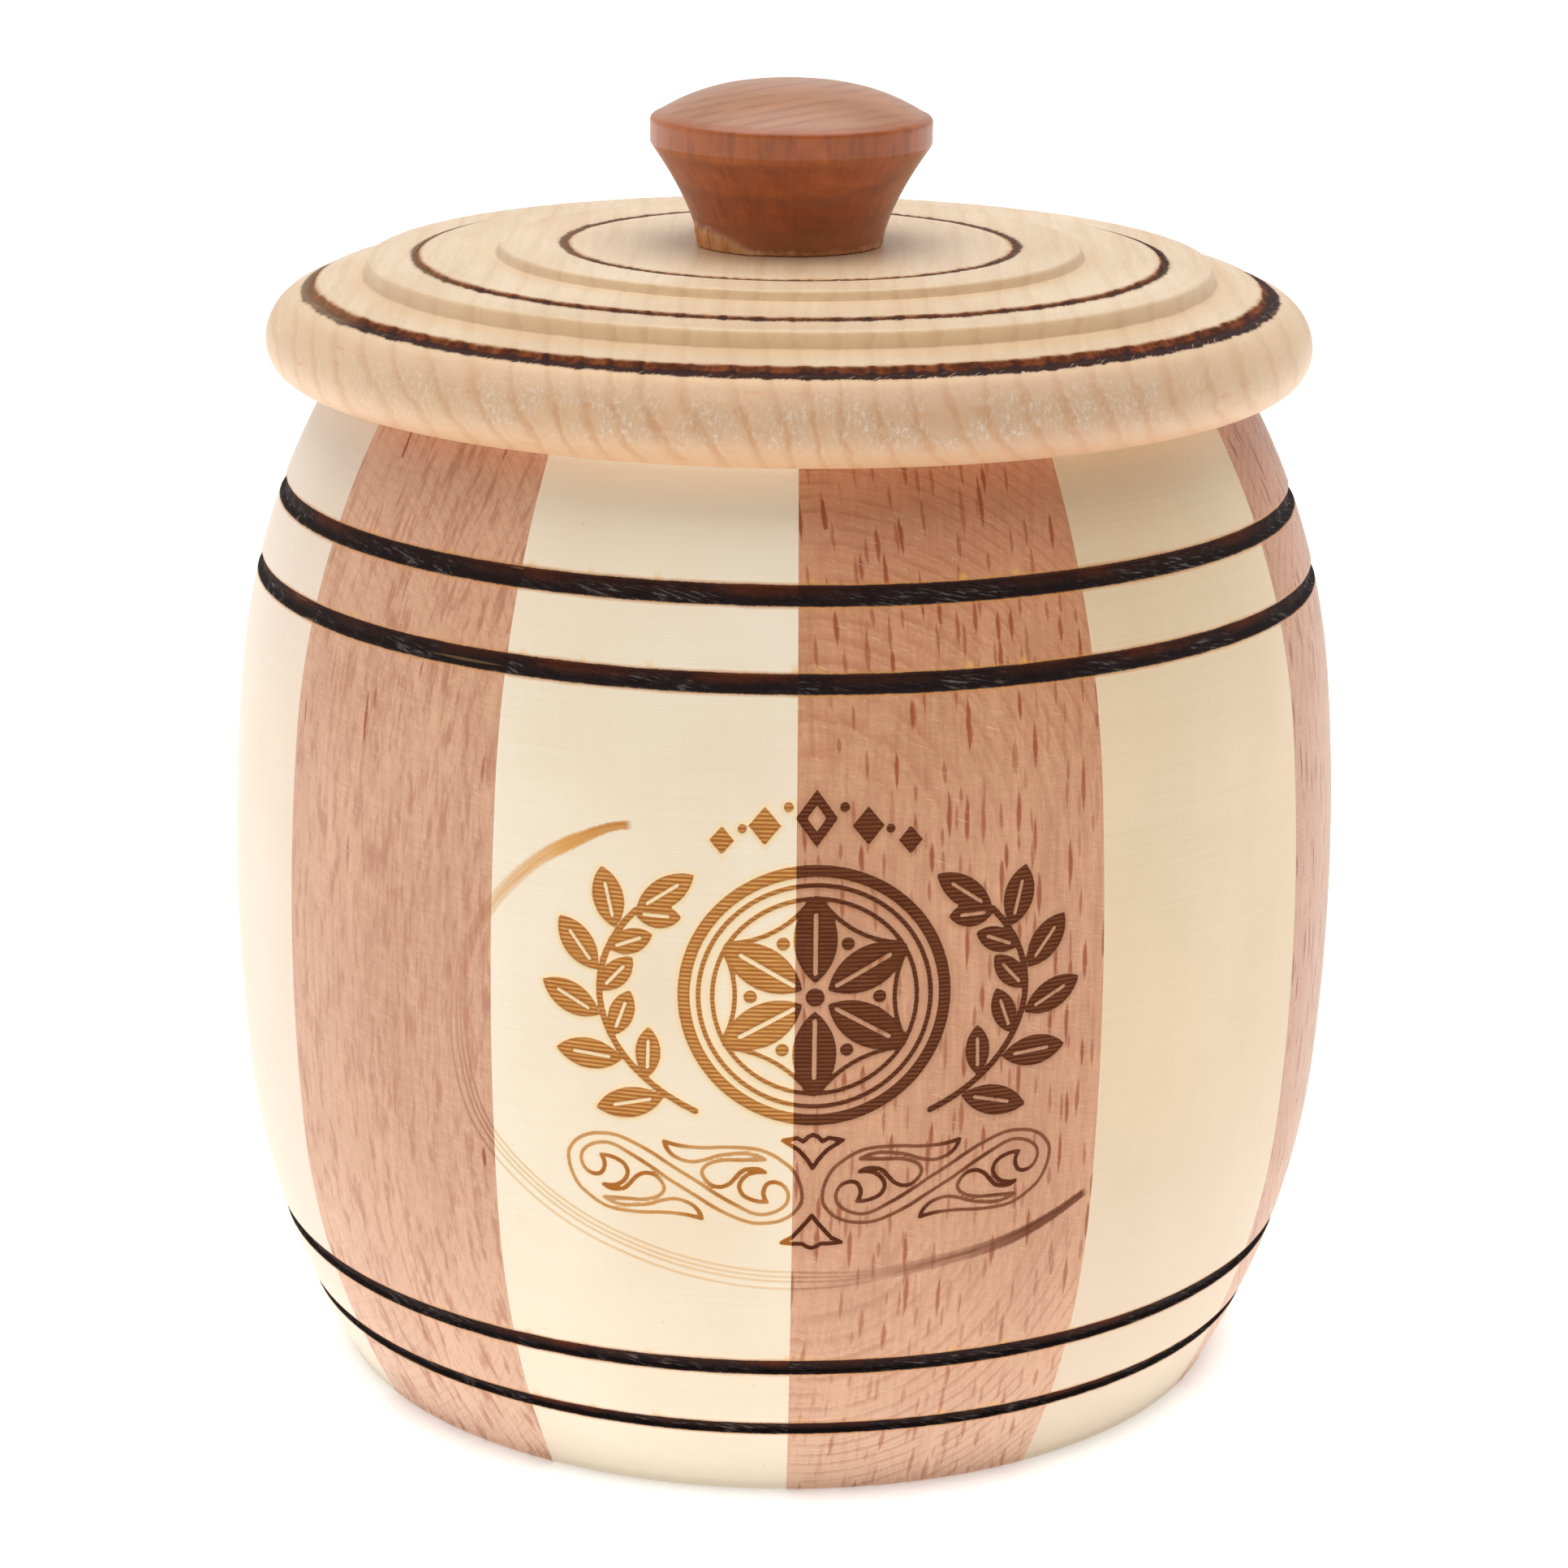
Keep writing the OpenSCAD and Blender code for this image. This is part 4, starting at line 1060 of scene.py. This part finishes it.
def knob_material(name):
    t = Tree(name)
    # the grain runs aslant, so the rings climb to the right over the dome
    V, x, y, z = t.place(math.radians(28))
    arc = t.mul(t.m("ARCTAN2", x, t.mul(y, -1.0)), KNOB_R)
    streak = t.noise(t.scaled(V, (0.05, 1.1, 1.1)), 3, 0.6)
    fibre = t.noise(t.scaled(V, (0.7, 5.0, 5.0)), 3, 0.6)
    mottle = t.noise(t.scaled(V, (0.13, 0.13, 0.13)), 3, 0.55)
    wob = t.noise(t.scaled(V, (0.05, 0.11, 0.11)), 2, 0.45)
    W, x0, y0, z0 = t.place()
    fine = t.m("FRACT", t.add(t.mul(t.mad(x0, -0.19, t.mad(y0, 0.16, z0)), 1.22), t.mul(wob, 0.9)))
    fine = t.mul(t.mul(t.step(0.40, 0.80, fine), t.step(1.0, 0.84, fine)), t.step(0.36, 0.62, t.noise(t.scaled(W, (0.16, 0.30, 0.5), (3, 8, 2)), 2, 0.5)))
    sag = t.m("FRACT", t.add(t.mul(t.mad(x0, -0.10, t.mad(y0, -0.22, z0)), 0.27), t.mad(wob, 0.8, 0.2)))
    sag = t.mul(t.step(0.45, 0.84, sag), t.step(1.0, 0.86, sag))
    ringc = t.add(t.mul(y, 0.34), t.mad(z, 0.05, t.mul(wob, 0.9)))
    ring = t.m("FRACT", ringc)
    ring = t.mul(t.step(0.35, 0.86, ring), t.step(1.0, 0.86, ring))
    thin = t.m("FRACT", t.mad(ringc, 3.0, 0.3))
    thin = t.mul(t.step(0.50, 0.84, thin), t.step(1.0, 0.84, thin))
    ring = t.m("MAXIMUM", ring, t.mul(thin, 0.5))
    a, b = (0.248, 0.046, 0.0085), (0.485, 0.122, 0.030)
    f = t.mad(streak, 0.55, t.mad(mottle, 0.85, t.mul(fibre, 0.3)))
    f = t.line(0.56, 1.14, f)
    colour = t.mix(f, a, b)
    top = CROWN_Z + NECK_H + BAND_H
    cap = t.step(top - 0.25, top + 0.7, z)
    # painted highlight: the dome is lighter and paler than the neck
    colour = t.mix(t.mul(cap, 0.50), colour, (0.485, 0.310, 0.192))
    colour = t.mix(t.mul(ring, t.mad(cap, -0.14, 0.24)), colour, (0.195, 0.056, 0.020))
    colour = t.mix(t.mul(t.mul(fine, cap), 0.44), colour, (0.240, 0.090, 0.042))
    colour = t.mix(t.mul(t.mul(sag, t.step(top - 2.2, top - 3.4, z)), 0.34), colour, (0.170, 0.045, 0.016))
    # upright streaks on the flared neck, dark dashes round the band
    c = CROWN_Z + NECK_H
    up = t.noise(t.vec(t.mul(arc, 1.3), t.mul(z, 0.16), 2.0), 3, 0.6)
    up = t.mul(t.step(0.48, 0.74, up), t.step(top + 0.2, c - 0.6, z))
    colour = t.mix(t.mul(up, 0.42), colour, (0.145, 0.034, 0.011))
    on_band = t.mul(t.step(c - 1.0, c + 0.3, z), t.step(top + 0.35, top - 0.35, z))
    # painted light on the left side of the band: lighter and more orange there
    colour = t.mix(t.mul(on_band, t.step(3.0, -11.0, x0, 0.28, 0.52)), colour, (0.53, 0.158, 0.041))
    dash = t.noise(t.vec(t.mul(arc, 0.90), t.mul(z, 0.14), 6.0), 3, 0.6)
    dash = t.mul(t.step(0.44, 0.70, dash), on_band)
    colour = t.mix(t.mul(dash, 0.52), colour, (0.165, 0.042, 0.020))
    # lighter and frayed towards its foot, with one torn splinter
    chip, low = t.attr("chip"), t.attr("low")
    torn = t.noise(t.scaled(V, (1.05, 1.05, 0.95)), 4, 0.62)
    foot = t.step(CROWN_Z + 4.6, CROWN_Z + 0.4, z)
    colour = t.mix(t.mul(foot, 0.46), colour, (0.60, 0.218, 0.092))
    fray = t.step(0.30, 0.62, t.add(t.mul(low, 0.75), t.mad(torn, 1.3, -0.68)))
    colour = t.mix(t.mul(fray, t.mul(t.step(0.0, 0.12, low), 0.84)), colour, (0.67, 0.300, 0.128))
    colour = t.mix(t.mul(chip, t.mad(torn, 0.4, 0.72)), colour, (0.80, 0.395, 0.165))
    rough = t.mad(fibre, 0.10, t.mad(chip, 0.25, 0.30))
    height = t.mad(fibre, 0.012, t.mad(dash, -0.006, t.mul(t.mul(t.m("MAXIMUM", chip, t.mul(low, 0.6)), torn), 0.16)))
    return t.done(colour, rough, height, specular=0.5)


def bottom_material(name):
    t = Tree(name)
    V, x, y, z = t.place(math.radians(24))
    streak = t.noise(t.scaled(V, (1.4, 0.05, 1.4)), 3, 0.6)
    fibre = t.noise(t.scaled(V, (5.5, 0.5, 5.5)), 3, 0.6)
    wob = t.noise(t.scaled(V, (0.05, 0.02, 0.2)), 2, 0.5)
    ring = t.m("FRACT", t.add(t.mul(x, 0.22), t.mad(z, 0.3, t.mul(wob, 4.0))))
    ring = t.mul(t.step(0.25, 0.92, ring), t.step(1.0, 0.93, ring))
    f = t.line(0.35, 0.75, t.mad(streak, 0.7, t.mul(fibre, 0.4)))
    colour = t.mix(f, (0.60, 0.43, 0.27), (0.76, 0.60, 0.42))
    colour = t.mix(t.mul(ring, 0.35), colour, (0.50, 0.32, 0.17))
    ray = t.flecks(x, y, (1.3, 4.4), (0.30, 2.2), 1.4, 0.6)
    colour = t.mix(t.mul(ray, 0.25), colour, (0.42, 0.25, 0.13))
    rough = t.mad(fibre, 0.15, 0.48)
    height = t.mad(fibre, 0.016, t.mul(ray, -0.012))
    return t.done(colour, rough, height)


# --------------------------------------------------------------------------
# Put the pieces together
# --------------------------------------------------------------------------
def settle(ob, node, body, material):
    ob.data.materials.clear()
    ob.data.materials.append(material)
    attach(ob, body)
    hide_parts(node)


LIGHT = ((0.795, 0.66, 0.48), (0.88, 0.775, 0.61))
LIGHT_SOFT = ((0.735, 0.584, 0.438), (0.812, 0.687, 0.558))
LIGHT_WARM = ((0.672, 0.495, 0.302), (0.768, 0.608, 0.412))
PINK = ((0.50, 0.240, 0.132), (0.695, 0.387, 0.236))
BROWN = ((0.467, 0.204, 0.096), (0.680, 0.344, 0.182))
ROSE = ((0.425, 0.196, 0.104), (0.595, 0.320, 0.190))

for i in range(1, 7):
    for kind in ("dark", "light"):
        k = 2 * (i - 1) + (1 if kind == "light" else 0)
        node = f"{kind}_stave_{i}"
        mid = math.radians((joint_deg(k) + joint_deg(k + 1)) / 2)
        engraved = k in (10, 11, 0)
        ob = make_stave(f"{kind}_stave_{i}_turned", k, engraved)
        if kind == "light":
            tone = LIGHT if i == 6 else LIGHT_SOFT if i in (5, 3) else LIGHT_WARM
            mat = light_stave_material(f"pale_wood_{i}", mid, i * 1.37, tone, engraved)
        else:
            tone = PINK if i in (6, 4) else ROSE if i == 2 else BROWN
            streaky = 0.78 if i in (6, 3) else 0.22
            flecky = 0.02 if i in (6, 3) else 0.68
            lines = 0.20 if i in (6, 3) else 0.42
            slant = (-0.25, 0.12, -0.18, 0.30, 0.08, -0.34)[i - 1]
            mat = beech_stave_material(f"beech_{i}", mid, i * 1.91, tone, lines, flecky, streaky, slant, engraved)
        settle(ob, node, "jar", mat)

settle(make_bottom("bottom_turned"), "bottom", "jar", bottom_material("bottom_board"))
settle(make_lid("lid_turned"), "lid", "lid", lid_material("lid_beech"))
settle(make_knob("knob_turned"), "knob", "lid", knob_material("knob_brown"))

# --------------------------------------------------------------------------
# Floor, light and camera
# --------------------------------------------------------------------------
scene = bpy.context.scene
scene.view_settings.view_transform = "Standard"

me = bpy.data.meshes.new("floor")
me.from_pydata([(-6, -6, 0), (6, -6, 0), (6, 6, 0), (-6, 6, 0)], [], [(0, 1, 2, 3)])
floor = bpy.data.objects.new("floor", me)
scene.collection.objects.link(floor)
t = Tree("floor_paper")
V, x, y, z = t.place()
n = t.noise(t.scaled(V, (0.02, 0.02, 0.02)), 2, 0.5)
t.done(t.mix(n, (0.84, 0.835, 0.825), (0.86, 0.855, 0.845)), 0.75, specular=0.2)
# a lit table top: it glows all round the jar, and its glow dims close to the jar's foot as a painted contact shadow
FLOOR_GLOW = 0.85
span = t.m("SQRT", t.mad(x, x, t.mul(y, y)))
t.bsdf.inputs["Emission Color"].default_value = (1.0, 0.985, 0.965, 1.0)
t.put(t.bsdf.inputs["Emission Strength"], t.step(42.0, 52.0, span, 0.25, FLOOR_GLOW))
floor.data.materials.append(t.mat)

# a far paper wall all round, as white as the table; it takes no part in the light
N_WALL, WALL_R, WALL_H = 96, 5.9, 6.0
rim = [(WALL_R * math.cos(2 * math.pi * k / N_WALL), WALL_R * math.sin(2 * math.pi * k / N_WALL)) for k in range(N_WALL)]
me = bpy.data.meshes.new("backdrop")
me.from_pydata([(a, b, 0.0) for a, b in rim] + [(a, b, WALL_H) for a, b in rim], [],
               [(k, (k + 1) % N_WALL, N_WALL + (k + 1) % N_WALL, N_WALL + k) for k in range(N_WALL)])
backdrop = bpy.data.objects.new("backdrop", me)
scene.collection.objects.link(backdrop)
t = Tree("backdrop_paper")
t.done((0.85, 0.845, 0.835, 1.0), 0.75, specular=0.0)
t.bsdf.inputs["Emission Color"].default_value = (1.0, 1.0, 1.0, 1.0)
t.bsdf.inputs["Emission Strength"].default_value = 1.05
backdrop.data.materials.append(t.mat)
backdrop.visible_diffuse = backdrop.visible_glossy = backdrop.visible_shadow = False
backdrop.visible_transmission = backdrop.visible_volume_scatter = False

# soft room light: from above, from the front wall and from the back wall
SKY_UP, SKY_FRONT, SKY_BACK = 0.15, 0.08, 0.80
world = bpy.data.worlds.new("studio")
scene.world = world
world.use_nodes = True
wt = world.node_tree
bg = wt.nodes["Background"]
bg.inputs["Color"].default_value = (1.0, 0.99, 0.975, 1.0)
direction = wt.nodes.new("ShaderNodeSeparateXYZ")
wt.links.new(wt.nodes.new("ShaderNodeTexCoord").outputs["Generated"], direction.inputs[0])


def ramp(source, a, b, lo, hi):
    n = wt.nodes.new("ShaderNodeMapRange")
    n.interpolation_type = "SMOOTHSTEP"
    wt.links.new(source, n.inputs["Value"])
    n.inputs["From Min"].default_value, n.inputs["From Max"].default_value = a, b
    for key, v in (("To Min", lo), ("To Max", hi)):
        if isinstance(v, bpy.types.NodeSocket):
            wt.links.new(v, n.inputs[key])
        else:
            n.inputs[key].default_value = v
    return n.outputs[0]


walls = ramp(direction.outputs[1], -0.45, 0.45, SKY_FRONT, SKY_BACK)
wt.links.new(ramp(direction.outputs[2], 0.25, 0.8, walls, SKY_UP), bg.inputs["Strength"])

# soft boxes: where, what they face, size, watts
BOXES = {
    "top": ((0.0, 0.0, 1.1), (0, 0.0001, 0), (1.4, 1.4), 16.0),
    "left": ((-0.9, -0.25, 0.45), (0, 0, 0.06), (0.9, 0.9), 0.9),
}
for name, (at, aim, size, watts) in BOXES.items():
    d = bpy.data.lights.new(name, "AREA")
    d.shape = "RECTANGLE"
    d.size, d.size_y = size
    d.energy = watts
    o = bpy.data.objects.new(name, d)
    scene.collection.objects.link(o)
    o.location = at
    o.visible_camera = False
    o.rotation_euler = (Vector(aim) - Vector(at)).to_track_quat("-Z", "Y").to_euler()

cam_data = bpy.data.cameras.new("camera")
cam_data.sensor_fit = "HORIZONTAL"
cam_data.sensor_width = 36.0
cam_data.lens = 5170.0 / 1932.0 * 36.0
cam_data.clip_start = 0.01
cam_data.clip_end = 50
cam = bpy.data.objects.new("camera", cam_data)
scene.collection.objects.link(cam)
cam.matrix_world = (Matrix.Translation((0, -0.4065, 0.1754))
                    @ Matrix.Rotation(math.radians(90 - 16.31), 4, "X")
                    @ Matrix.Rotation(math.radians(0.66), 4, "Z"))
scene.camera = cam

bpy.context.view_layer.update()
